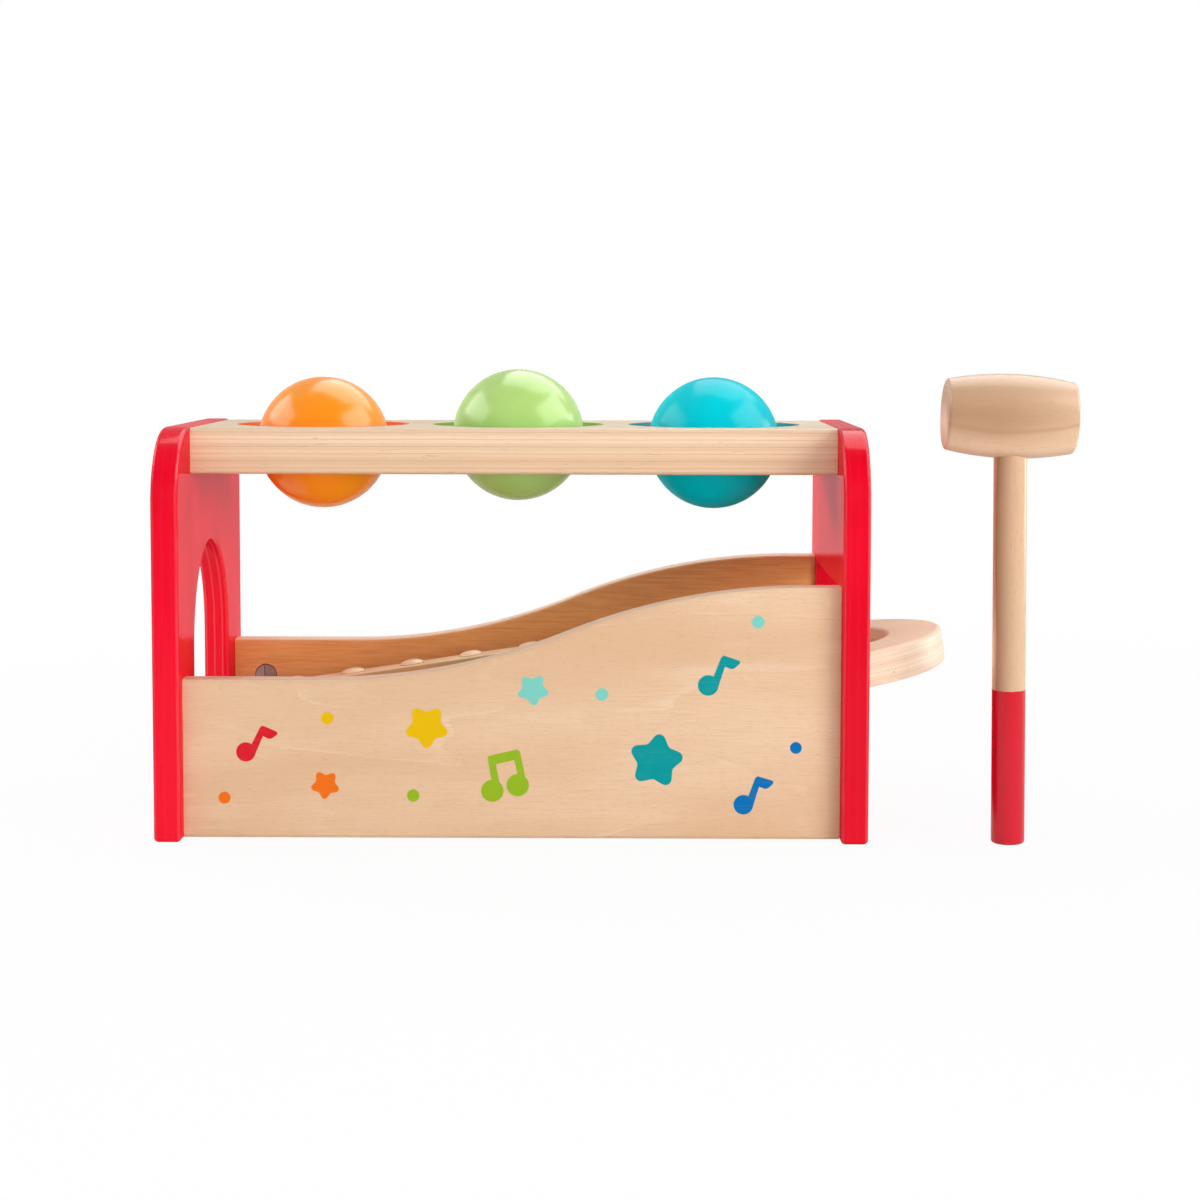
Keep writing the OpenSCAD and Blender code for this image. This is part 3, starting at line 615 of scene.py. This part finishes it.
def makeTopBoard():
    b, thick, inner = topBoard, bench["boardThick"], bench["innerX"]
    seat = thick - b["seatDeep"]
    bores = [bore(k * b["pitch"], 0, b["holeSteps"], (b["seatR"], thick), (b["seatR"], seat),
                  (b["holeR"], seat), (b["holeR"], 0)) for k in (-1, 0, 1)]
    bores += [bore(x, y, b["nutSteps"], (b["nutR"], 0), (b["nutR"], b["nutDeep"]))
              for x in (-sidePanel["nutX"], sidePanel["nutX"]) for y in (-b["nutY"], b["nutY"])]
    outline = box(-inner, -b["halfDepth"], inner, b["halfDepth"])
    board = plate([outline], thick, [b["edge"]], bores, ends=inner)
    piece("tapBoard", board, benchPlace @ shift(0, 0, bench["boardLow"]), boardVeneer, "bench", "top_board",
          "board_plywood")


# balls in their soft collars

ball = dict(radius=23, z=129.15, greenZ=131.85, grid=28, uneven=0.04, waves=2.5, sharp=60)
collar = dict(landR=23.3, tubeR=26.3, flangeR=30, flange=3, rim=2, funnel=3.5, footEdge=0.4, seatEdge=0.3,
              outerEdge=0.8, rimEdge=0.9, throatEdge=1.2, smooth=15, steps=96)
colourRow = [("orange", -1), ("green", 0), ("teal", 1)]


def makeBalls():
    for colour, k in colourRow:
        mesh = bmesh.new()
        bmesh.ops.create_cube(mesh, size=2)
        bmesh.ops.subdivide_edges(mesh, edges=mesh.edges, cuts=ball["grid"] - 1, use_grid_fill=True)
        for vert in mesh.verts:
            # even out the grid on the sphere, then a lathe-turned ball's slight unevenness
            way = Vector([tan(pi / 4 * value) for value in vert.co]).normalized()
            swell = noise.noise(way * ball["waves"] + Vector((k, k, k))) - 0.5
            vert.co = way * (ball["radius"] + ball["uneven"] * swell)
        z = ball["greenZ"] if colour == "green" else ball["z"]
        node = colour + "_ball"
        place = benchPlace @ shift(k * topBoard["pitch"], 0, z)
        piece(colour + "Ball", mesh, place, ballPaint[colour], node, node, node, ball["sharp"])


def makeCollars():
    c, deep = collar, -bench["boardThick"]
    top = bench["boardLow"] + bench["boardThick"]
    profile = rounded([(c["landR"], deep, c["footEdge"]), (c["tubeR"], deep, c["footEdge"]),
                       (c["tubeR"], -c["flange"], c["seatEdge"]), (c["flangeR"], -c["flange"], c["seatEdge"]),
                       (c["flangeR"], 0, c["outerEdge"]), (c["flangeR"] - c["rim"], 0, c["rimEdge"]),
                       (c["landR"], -c["funnel"], c["throatEdge"])], c["smooth"])
    for colour, k in colourRow:
        ring = lathe([(p.x, p.y) for p in profile], c["steps"], True)
        node = colour + "_collar"
        place = benchPlace @ shift(k * topBoard["pitch"], 0, top)
        piece(colour + "Collar", ring, place, collarRubber[colour], "bench", node, node)


# runners: ledges along the slope, glued to the side panels

runner = dict(inner=40, outer=50, lip=2.5, ledgeTop=-12.3, ledge=8, start=0.3, end=195.4, edge=0.25, lowR=0.5,
              gluedR=0.3, openR=0.6, smooth=30)


def makeRunners():
    r = runner
    low, lip = r["ledgeTop"] - r["ledge"], r["outer"] - r["lip"]
    section = [(r["inner"], low, r["lowR"]), (r["outer"], low, r["gluedR"]), (r["outer"], 0, r["gluedR"]),
               (lip, 0, r["openR"]), (lip, r["ledgeTop"]), (r["inner"], r["ledgeTop"], r["openR"])]
    for side, corners in (("back", section), ("front", flip(section))):
        strip = plate([rounded(corners, r["smooth"])], r["end"] - r["start"], [r["edge"]], rings=3)
        piece(side + "Ledge", strip, slopePlace @ shift(r["start"]) @ crosswise, runnerBeech, "bench",
              side + "_runner", "runner_wood")


# xylophone: plywood base with a hand hole, eight keys on felt under two rails

base = dict(start=0.3, tip=259.85, half=47, thick=12, edge=1.5, tipSteps=64, gripHalfY=20, gripHalfU=11,
            gripSideR=30, gripWall=19, gripEdge=1.4, gripSideSteps=12, gripEndSteps=24, screwR=3.1,
            screwDeep=2, screwSteps=24)
keyRow = dict(count=8, first=24.87, pitch=22.14, width=18.04, halfLength=43.4, low=2, thick=2, cornerR=2,
              edge=0.45, holeR=1.9, holeSteps=24, screwY=40, dark=0.93, light=0.35)
keyTones = [(219, 36, 51), (245, 120, 31), (242, 196, 26), (153, 196, 51), (41, 158, 92), (13, 158, 168),
            (13, 107, 189), (115, 71, 158)]
rail = dict(inner=34.5, outer=45.5, under=5.4, top=8.1, leg=1.8, edge=0.8, lowEdge=0.3, endEdge=0.25,
            smooth=22, start=10.8, end=193.9, bossR=4.5, bossHigh=1.6, bossRoot=0.5, bossRings=9,
            bossSteps=28)
felt = dict(inner=34.5, outer=43.4, start=13.8, end=190.9, thick=2, cornerR=0.6, edge=0.4)


def keyU(index):
    return keyRow["first"] + index * keyRow["pitch"]


screwRow = [(keyU(i), v) for i in range(keyRow["count"]) for v in (-keyRow["screwY"], keyRow["screwY"])]


def gripHole():
    # oval of four tangent arcs, drawn the way round that an opening needs
    y, u, side = base["gripHalfY"], base["gripHalfU"], base["gripSideR"]
    end = (2 * side * u - u * u - y * y) / (2 * (side - y))
    meet = atan2(y - end, side - u)
    middle = base["tip"] - base["gripWall"] - u
    half = arc(middle + u - side, 0, side, -meet, 2 * meet, base["gripSideSteps"])
    half += arc(middle, y - end, end, meet, pi - 2 * meet, base["gripEndSteps"])[1:-1]
    return (half + [Vector((2 * middle - p.x, -p.y)) for p in half])[::-1]


def makeBase():
    b = base
    outline = [Vector((b["start"], b["half"])), Vector((b["start"], -b["half"]))]
    outline += arc(b["tip"] - b["half"], 0, b["half"], -pi / 2, pi, b["tipSteps"])
    bores = [bore(u, v, b["screwSteps"], (b["screwR"], 0), (b["screwR"], b["screwDeep"]))
             for u, v in screwRow]
    board = plate([outline, gripHole()], b["thick"], [b["edge"], b["gripEdge"]], bores)
    piece("xylophoneBoard", board, slopePlace @ shift(0, 0, -b["thick"]), baseVeneer, "xylophone",
          "xylophone_base", "base_plywood")


def makeKeys():
    k = keyRow
    for index, colour in enumerate(keyTones):
        u, node = keyU(index), "key_%d" % (index + 1)
        outline = box(u - k["width"] / 2, -k["halfLength"], u + k["width"] / 2, k["halfLength"], k["cornerR"])
        holes = [circle(u, v, k["holeR"], k["holeSteps"])[::-1] for v in (-k["screwY"], k["screwY"])]
        bar = plate([outline] + holes, k["thick"], [k["edge"]] * 3, rings=3)
        dark = [value * k["dark"] for value in colour]
        light = [value + k["light"] * (255 - value) for value in colour]
        coat = enamel("keyEnamel%d" % (index + 1), colour, dark, light, 5 * index)
        place = slopePlace @ shift(0, 0, k["low"])
        piece("toneBar%d" % (index + 1), bar, place, coat, "xylophone", node, node)


def makeFelt():
    f = felt
    for side, low, high in (("back", f["inner"], f["outer"]), ("front", -f["outer"], -f["inner"])):
        strip = plate([box(f["start"], low, f["end"], high, f["cornerR"])], f["thick"], [f["edge"]], rings=3)
        piece(side + "Felt", strip, slopePlace, greyFelt, "xylophone", side + "_felt_strip", "felt")


def openTree(name, **sockets):
    # a tree with a part to repeat and a finish, besides the inputs given
    tree = bpy.data.node_groups.new(name, "GeometryNodeTree")
    for socket, kind in dict(sockets, Part="Object", Finish="Material").items():
        tree.interface.new_socket(socket, in_out="INPUT", socket_type="NodeSocket" + kind)
    tree.interface.new_socket("Result", in_out="OUTPUT", socket_type="NodeSocketGeometry")
    g = Graph(tree)
    given = g.add("NodeGroupInput").other
    return g, given, g.add("GeometryNodeObjectInfo", {"Object": given("Part")}, "Geometry")


def closeTree(g, given, shapes):
    real = g.add("GeometryNodeRealizeInstances", {"Geometry": shapes})
    dressed = g.add("GeometryNodeSetMaterial", {"Geometry": real, "Material": given("Finish")})
    g.add("NodeGroupOutput", {"Result": dressed})
    return g.tree


def rowTree():
    # adds a row of parts to the piece itself
    g, given, part = openTree("bossRow", Piece="Geometry", Count="Int", Start="Vector", Step="Vector")
    row = g.add("GeometryNodeMeshLine", {
        "Count": given("Count"), "Start Location": given("Start"), "Offset": given("Step")}, mode="OFFSET")
    bosses = g.add("GeometryNodeInstanceOnPoints", {"Points": row, "Instance": part})
    both = g.add("GeometryNodeJoinGeometry")
    for source in (bosses, given("Piece")):
        g.tree.links.new(source.socket, both.node.inputs[0])
    return closeTree(g, given, both)


def repeatTree():
    # puts a part on every point, turned as the point says and twisted a little by chance
    g, given, part = openTree("fastenerSet", Spots="Geometry", Twist="Float", Seed="Int")
    turn = g.add("GeometryNodeInputNamedAttribute", {"Name": "turn"}, "Attribute", data_type="FLOAT_VECTOR")
    chance = g.add("FunctionNodeRandomValue", {"Min": -1.0, "Max": 1.0, "Seed": given("Seed")}, "Value",
                   data_type="FLOAT")
    spin = g.add("FunctionNodeAxisAngleToRotation", {"Axis": (0, 0, 1), "Angle": chance * given("Twist")})
    aim = g.add("FunctionNodeEulerToRotation", {0: turn})
    whole = g.add("FunctionNodeRotateRotation", {"Rotation": aim, "Rotate By": spin}, rotation_space="LOCAL")
    return closeTree(g, given, g.add("GeometryNodeInstanceOnPoints", {
        "Points": given("Spots"), "Instance": part, "Rotation": whole}))


def grow(item, tree, **values):
    # runs a tree on an object, with its inputs set by their identifiers first
    modifier = item.modifiers.new(tree.name, "NODES")
    modifier.node_group = tree
    for socket in tree.interface.items_tree:
        if socket.in_out == "INPUT" and socket.name in values:
            modifier[socket.identifier] = values[socket.name]
    item.update_tag()
    plain(item)


def makeRails():
    r, leg = rail, rail["outer"] - rail["leg"]
    section = [(r["inner"], r["under"], r["lowEdge"]), (leg, r["under"]), (leg, 0, r["lowEdge"]),
               (r["outer"], 0, r["lowEdge"]), (r["outer"], r["top"], r["edge"]),
               (r["inner"], r["top"], r["edge"])]
    cap = [(r["bossR"] * sin(a), r["bossHigh"] * cos(a)) for a in quarter(r["bossRings"])]
    cap += [(r["bossR"], -r["bossRoot"]), (0, -r["bossRoot"])]
    boss = shaped("bossShape", lathe(cap, r["bossSteps"]), slopePlace.to_3x3().to_4x4())
    tree = rowTree()
    step = slopePlace.to_3x3() @ Vector((keyRow["pitch"], 0, 0))
    reach = keyRow["screwY"]
    for side, corners, v in (("back", section, reach), ("front", flip(section), -reach)):
        strip = plate([rounded(corners, r["smooth"])], r["end"] - r["start"], [r["endEdge"]], rings=3)
        item = shaped(side + "Rail", strip, slopePlace @ shift(r["start"]) @ crosswise)
        grow(item, tree, Part=boss, Count=keyRow["count"], Start=slopePlace @ Vector((keyU(0), v, r["top"])),
             Step=step, Finish=railMoulding)
        settle(item, railMoulding, "xylophone", side + "_key_rail", "rail")
    bpy.data.objects.remove(boss)


# screws, bolts and barrel nuts, each drawn with its visible face at height 0 and its shank below

screw = dict(headR=3, head=2, edge=0.35, deep=1.1, shankR=1.5, length=18.9, twist=3.1, seed=4, crossReach=1.9,
             crossHalf=0.42)
bolt = dict(headR=4.2, head=2.6, edge=0.5, deep=1.3, shankR=2, length=26.1, twist=3.1, seed=9, socket=2.5,
            sink=0.4)
nut = dict(headR=4, head=7.4, edge=0.3, deep=1, twist=0.12, seed=2, slotWide=1.2, slotLong=6.9)
fastener = dict(headSteps=32, overlap=0.05, tip=0.5, shankSteps=20)


def crossSlot(reach, half):
    points = []
    for k in range(4):
        turn = Matrix.Rotation(pi / 2 * k, 2)
        points += [turn @ Vector(p) for p in ((half, -half), (reach, -half), (reach, half))]
    return points


def headed(f, recess):
    # round head with a driver recess, on a plain shank if it has one
    high = f["head"]
    outline = circle(0, 0, f["headR"], fastener["headSteps"])
    socket = [(recess, high), (recess, high - f["deep"])]
    head = plate([outline], high, [f["edge"]], [socket], rings=3)
    bmesh.ops.translate(head, verts=head.verts, vec=(0, 0, -high))
    if "shankR" in f:
        radius, tip, top, low = f["shankR"], fastener["tip"], fastener["overlap"] - high, -f["length"]
        profile = [(0, top), (radius, top), (radius, low + tip), (radius - tip, low), (0, low)]
        lathe(profile, fastener["shankSteps"], mesh=head)
    return head


def setOut(name, f, recess, spots, tree, body, node):
    # spots: place in metres, direction that the face looks, way that the first axis points
    data = bpy.data.meshes.new(name)
    data.from_pydata([spot for spot, look, side in spots], [], [])
    turns = data.attributes.new("turn", "FLOAT_VECTOR", "POINT")
    for entry, (spot, look, side) in zip(turns.data, spots):
        look, side = Vector(look).normalized(), Vector(side).normalized()
        entry.vector = Matrix((side, look.cross(side), look)).transposed().to_euler()
    shape = shaped(name + "Shape", headed(f, recess), Matrix.Scale(mm, 4))
    item = stand(name, data)
    grow(item, tree, Part=shape, Twist=f["twist"], Seed=f["seed"], Finish=zincSteel)
    settle(item, zincSteel, body, node, "steel")
    bpy.data.objects.remove(shape)


def makeFasteners():
    tree = repeatTree()
    down, along = [slopePlace.to_3x3() @ Vector(way) for way in ((0, 0, -1), (1, 0, 0))]
    spots = [(slopePlace @ Vector((u, v, -base["thick"])), down, along) for u, v in screwRow]
    setOut("railScrews", screw, crossSlot(screw["crossReach"], screw["crossHalf"]), spots, tree, "xylophone",
           "key_screws")

    reach = bench["length"] / 2 - bolt["sink"]
    spots = [(benchPlace @ Vector((end * reach, y, z)), (end, 0, 0), (0, 0, 1))
             for end in (-1, 1) for y, z in boltSpots]
    setOut("panelBolts", bolt, circle(0, 0, bolt["socket"] / sqrt(3), 6), spots, tree, "bench", "bolts")

    spots = []
    for x in (-sidePanel["nutX"], sidePanel["nutX"]):
        for side in (-1, 1):
            inside = benchPlace @ Vector((x, side * bench["innerY"], sidePanel["nutZ"]))
            below = benchPlace @ Vector((x, side * topBoard["nutY"], bench["boardLow"]))
            spots += [(inside, (0, -side, 0), (1, 0, 0)), (below, (0, 0, -1), (1, 0, 0))]
    wide, long = nut["slotWide"] / 2, nut["slotLong"] / 2
    setOut("crossNuts", nut, box(-wide, -long, wide, long), spots, tree, "bench", "barrel_nuts")


# hammer: barrel-shaped head on a turned handle with a dipped red grip

hammer = dict(x=163.4, y=-59.5, headZ=140.7, headLong=42.2, headX=162.6, headR=13.8, endR=11.5, edge=1.3,
              tilt=1.9, headSteps=80, handleR=5.5, handleTop=145.9, gripTop=51, gripThick=0.06, gripLow=0.15,
              gripHigh=0.1, footR=1, lean=-0.37, leanZ=78, lift=0.04, handleSteps=56,
              sideRows=24, edgeRows=8, faceShares=(0.96, 0.5), footRows=6, gripRows=6, shaftRows=10)
headRings = dict(middle=(-53.5, 121.7), at=16.3, wide=25, dark=1.35, peak=0.5, line=0.2, slant=0.04,
                 fade=(155.4, 191.4), coatRough=0.3)
handleRings = dict(middle=(150.4, -51.5), at=12, wide=11, dark=1.0, peak=0.2, line=0.47, slant=0,
                   fade=(140.7, 160.7), coatRough=0.22)
gripPaint = dict(top=hammer["gripTop"], base=(203, 10, 36), dark=(188, 5, 29), soft=0.12)


def headProfile():
    h, edge = hammer, hammer["edge"]
    half, bulge = h["headLong"] / 2, h["headR"] - h["endR"]
    sweep = (half * half + bulge * bulge) / (2 * bulge)
    flat, rows = half - edge, h["sideRows"]
    side = [(h["headR"] - sweep + sqrt(sweep * sweep - z * z), z)
            for z in [flat * (2 * k / rows - 1) for k in range(rows + 1)]]
    rim = side[-1][0] - edge
    end = [(rim + edge * cos(a), flat + edge * sin(a)) for a in quarter(h["edgeRows"])[1:]]
    end += [(rim * share, half) for share in h["faceShares"]] + [(0, half)]
    return [(r, -z) for r, z in reversed(end)] + side + end


def handleProfile():
    h, radius, foot, top = hammer, hammer["handleR"], hammer["footR"], hammer["gripTop"]
    bare, grip, shaft = radius - h["gripThick"], h["gripRows"], h["shaftRows"]
    profile = [(0, 0), (radius - foot, 0)]
    profile += [(radius - foot + foot * sin(a), foot - foot * cos(a)) for a in quarter(h["footRows"])[1:]]
    profile += [(radius, top * k / grip) for k in range(1, grip)]
    profile += [(radius, top - h["gripLow"]), (bare, top + h["gripHigh"])]
    profile += [(bare, top + (h["handleTop"] - top) * k / shaft) for k in range(1, shaft + 1)]
    return profile + [(0, h["handleTop"])]


def makeHammer():
    h = hammer
    place = benchPlace @ shift(h["headX"], h["y"], h["headZ"]) @ turned(h["tilt"]) @ crosswise
    piece("malletHead", lathe(headProfile(), h["headSteps"]), place,
          turnedWood("headWood", "x", headRings), "hammer", "hammer_head", "hammer_wood")
    place = (benchPlace @ shift(h["x"], h["y"], h["leanZ"] + h["lift"]) @ turned(h["lean"])
             @ shift(0, 0, -h["leanZ"]))
    piece("malletHandle", lathe(handleProfile(), h["handleSteps"]), place,
          turnedWood("handleWood", "z", handleRings, gripPaint), "hammer", "hammer_handle", "hammer_wood")


# printed dots, stars and notes on the front panel: place, size and turn

figures = dict(
    red=dict(tone=(210, 28, 45), notes=[(-87.7, 29.3, 3.2, -5.7)]),
    orange=dict(tone=(233, 111, 22), dots=[(-94.9, 14.0, 2.0)], stars=[(-61.5, 18.4, 4.75, -94)]),
    yellow=dict(tone=(225, 181, 2), dots=[(-60.7, 40.6, 2.05)], stars=[(-27.9, 37.9, 7.1, -90)]),
    green=dict(tone=(143, 178, 34), dots=[(-32.4, 14.9, 2.05)], pairs=[(-6.25, 16.6, 3.7)]),
    mint=dict(tone=(120, 200, 187), dots=[(29.9, 48.8, 2.1), (81.2, 72.9, 2.1)],
              stars=[(7.2, 50.3, 5.2, -86)]),
    teal=dict(tone=(0, 146, 150), stars=[(47.8, 26.8, 8.9, 81)], notes=[(64.9, 51.9, 3.4, 0)]),
    blue=dict(tone=(0, 109, 176), dots=[(93.9, 31.2, 1.95)], notes=[(76.7, 12.2, 3.25, 1)]))
printing = dict(thick=0.05, sunk=0.05, dotSteps=30, headSteps=36, smooth=20)
star = dict(points=5, outer=1.21, inner=0.565, tipR=0.19, notchR=0.17)
note = dict(headR=3.4, flag=[(0.8, 0.4), (3.1, -1.2), (5.5, 6.2), (8.1, 5.2, 1.7), (11.2, 7.9, 0.75),
                             (4.8, 10.0, 1.0), (4.1, 9.0)])
notePair = dict(headR=3.7, apart=(8.4, 1.9),
                beam=[(0.15, 1.2), (2.65, 1.2), (1.2, 8.85), (7.3, 10.3), (8.9, 3.2), (11.2, 3.2),
                      (9.0, 14.0, 1.2), (-1.65, 11.5, 1.0)])


def starLoops(x, y, reach, angle):
    outer = star["outer"] * reach
    corners = []
    for k in range(2 * star["points"]):
        a = radians(angle + 180 / star["points"] * k)
        r, bend = (star["inner"] * outer, star["notchR"]) if k % 2 else (outer, star["tipR"])
        corners.append((x + r * cos(a), y + r * sin(a), bend * outer))
    return [rounded(corners, printing["smooth"])]


def noteLoops(x, y, radius, turn):
    size, swing = radius / note["headR"], Matrix.Rotation(radians(turn), 2)
    flag = [Vector((x, y)) + swing @ p * size for p in rounded(note["flag"], printing["smooth"])]
    return [circle(x, y, radius, printing["headSteps"]), flag]


def pairLoops(x, y, radius):
    size, (apart, higher) = radius / notePair["headR"], notePair["apart"]
    beam = [Vector((x, y)) + p * size for p in rounded(notePair["beam"], printing["smooth"])]
    return [circle(x, y, radius, printing["headSteps"]),
            circle(x + apart * size, y + higher * size, radius, printing["headSteps"]), beam]


def inkMesh(groups):
    # each group of overlapping loops becomes one thin closed film
    mesh = bmesh.new()
    for loops in groups:
        points, faces = [], []
        for loop in loops:
            area = sum(a.x * b.y - a.y * b.x for a, b in zip(loop, loop[1:] + loop[:1]))
            ordered = loop if area > 0 else loop[::-1]
            faces.append(list(range(len(points), len(points) + len(ordered))))
            points += ordered
        spots, triangles = delaunay_2d_cdt(points, [], faces, 1, 1e-5)[:3:2]  # 1: inside the loops only
        low = [mesh.verts.new((p.x, p.y, -printing["sunk"])) for p in spots]
        high = [mesh.verts.new((p.x, p.y, printing["thick"])) for p in spots]
        for triangle in triangles:
            mesh.faces.new([high[i] for i in triangle])
            mesh.faces.new([low[i] for i in reversed(triangle)])
        seen = dict.fromkeys(side for t in triangles for side in zip(t, t[1:] + t[:1]))
        for a, b in seen:
            if (b, a) not in seen:
                mesh.faces.new((low[a], low[b], high[b], high[a]))
    loose = [vert for vert in mesh.verts if not vert.link_faces]
    bmesh.ops.delete(mesh, geom=loose, context="VERTS")
    return mesh


def makePrint():
    place = benchPlace @ shift(0, -bench["innerY"] - sidePanel["thick"]) @ frontwise
    for seed, (colour, f) in enumerate(figures.items()):
        groups = [[circle(*dot, printing["dotSteps"])] for dot in f.get("dots", [])]
        for kind, draw in (("stars", starLoops), ("notes", noteLoops), ("pairs", pairLoops)):
            groups += [draw(*spot) for spot in f.get(kind, [])]
        piece(colour + "Print", inkMesh(groups), place, ink(colour + "Ink", f["tone"], 3 * seed), "bench")


makeEndPanels()
makeSidePanels()
makeTopBoard()
print("bench panels made")
makeBalls()
makeCollars()
makeRunners()
print("balls, collars and runners made")
makeBase()
makeKeys()
makeFelt()
makeRails()
makeFasteners()
print("xylophone and fasteners made")
makeHammer()
makePrint()
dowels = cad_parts["dowels"]
dowels.data.materials.clear()
dowels.data.materials.append(dowelBeech)
print("hammer, print and dowels dressed")


# studio: white floor and surroundings, soft boxes, camera

studio = dict(ambientFront=0.3, ambientBack=0.85, ambientTurn=(-0.2, 0.5), frontGloss=0.05,
              glossTurn=(-0.25, 0.3), floorReach=6, floorGrey=0.9, floorGloss=(-0.8, -0.2), shadowFloor=0.93,
              shadowFade=(0.3, 0.75))
# place, aim, size and power: fills light the colours, gloss boxes are only seen in reflections
fills = dict(
    skyFill=((-0.75, -0.15, 1.35), (0, 0, 0.1), (1.4, 1.4), 5),
    backLeftFill=((-1.25, 1.0, 0.32), (0, 0, 0.1), (0.9, 0.35), 13),
    backRightFill=((1.2, 1.05, 0.32), (0, 0, 0.1), (0.9, 0.35), 4),
    frontFill=((0.1, -1.6, 0.6), (0, 0, 0.08), (1.6, 1.0), 6.5),
    rightFill=((1.15, -1.1, 0.45), (0, 0, 0.08), (0.9, 0.7), 14.5),
    leftFill=((-1.1, -1.15, 0.4), (0, 0, 0.08), (0.8, 0.6), 1))
glossBoxes = dict(
    leftGloss=((-1.0, 0.1, 0.75), (0, 0, 0.12), (1.2, 0.55), 14),
    rightGloss=((0.95, -0.15, 0.85), (0, 0, 0.2), (1.3, 0.75), 24),
    edgeGloss=((0.95, 0.42, 0.24), (0.1, 0, 0.1), (0.3, 0.46), 6),
    topGloss=((0.22, 0.58, 1.1), (0, 0, 0.12), (1.1, 1.15), 23))
# the photograph was framed below its lens axis, so its uprights hardly lean; place is in millimetres
# on the bench, focal length and shift in pixels of the frame
view = dict(place=(35.917, -842.195, 167.062), yaw=-0.008595, pitch=0.073946, roll=0.00168, focal=2397.94,
            frame=1200, shift=-87.97, sensor=36, clip=(0.01, 50))


def rays(g):
    # what the camera or glass sees, and what a gloss sees
    path = g.add("ShaderNodeLightPath", out="Is Camera Ray")
    return g.maths("MAXIMUM", path, path.other("Is Transmission Ray")), path.other("Is Glossy Ray")


def makeWorld():
    # white all round for the camera; gloss sees the white backdrop behind and a dim room in front
    world = bpy.data.worlds.new("studioWorld")
    scene.world = world
    g = Graph(emptied(world))
    seen, gloss = rays(g)
    way = g.add("ShaderNodeSeparateXYZ", {0: g.add("ShaderNodeTexCoord", out="Generated")}, "Y")
    room = g.ramp(way, *studio["glossTurn"], studio["frontGloss"])
    soft = g.ramp(way, *studio["ambientTurn"], studio["ambientFront"], studio["ambientBack"])
    light = seen + gloss * room + (1 - seen - gloss) * soft
    glow = g.add("ShaderNodeBackground", {"Color": (1, 1, 1, 1), "Strength": light})
    g.add("ShaderNodeOutputWorld", {0: glow})


def makeFloor():
    # white paper that keeps a little of the shadow near the bench
    reach, grey = studio["floorReach"], studio["floorGrey"]
    sheet = bpy.data.meshes.new("studioFloor")
    sheet.from_pydata([(p.x, p.y, 0) for p in box(-reach, -reach, reach, reach)], [], [(0, 1, 2, 3)])
    floor = stand("studioFloor", sheet)
    paper = bpy.data.materials.new("studioPaper")
    g = Graph(emptied(paper))
    seen, gloss = rays(g)
    spot = g.add("ShaderNodeTexCoord", out="Object")
    away = g.add("ShaderNodeVectorMath", {0: spot}, "Value", operation="LENGTH")
    fade = g.ramp(away, *studio["shadowFade"], studio["shadowFloor"])
    front = g.add("ShaderNodeSeparateXYZ", {0: spot}, "Y")
    bright = seen + gloss * g.ramp(front, *studio["floorGloss"], studio["frontGloss"])
    matt = g.add("ShaderNodeBsdfDiffuse", {"Color": (grey, grey, grey, 1)})
    glow = g.add("ShaderNodeEmission", {"Color": (1, 1, 1, 1), "Strength": bright})
    mix = g.add("ShaderNodeMixShader", {0: (seen + gloss) * fade, 1: matt, 2: glow})
    g.add("ShaderNodeOutputMaterial", {0: mix})
    sheet.materials.append(paper)


def makeLamps(lamps, fill):
    for name, (place, aim, size, power) in lamps.items():
        lamp = bpy.data.lights.new(name, "AREA")
        lamp.shape = "RECTANGLE"
        lamp.size, lamp.size_y = size
        lamp.energy = power
        item = stand(name, lamp)
        item.location = place
        item.rotation_euler = (Vector(aim) - Vector(place)).to_track_quat("-Z", "Y").to_euler()
        item.visible_camera = False
        item.visible_glossy = not fill
        item.visible_diffuse = fill


def makeCamera():
    lens = bpy.data.cameras.new("photoCamera")
    lens.sensor_fit = "HORIZONTAL"
    lens.sensor_width = view["sensor"]
    lens.lens = view["focal"] * view["sensor"] / view["frame"]
    lens.shift_y = view["shift"] / view["frame"]
    lens.clip_start, lens.clip_end = view["clip"]
    camera = stand("photoCamera", lens)
    place = shift(*(benchPlace @ Vector(view["place"])))
    for angle, axis in ((-view["yaw"], "Z"), (pi / 2 - view["pitch"], "X"), (view["roll"], "Z")):
        place = place @ Matrix.Rotation(angle, 4, axis)
    camera.matrix_world = place
    scene.camera = camera


makeWorld()
makeFloor()
makeLamps(fills, True)
makeLamps(glossBoxes, False)
makeCamera()
scene.view_settings.view_transform = "Standard"
print("studio set")
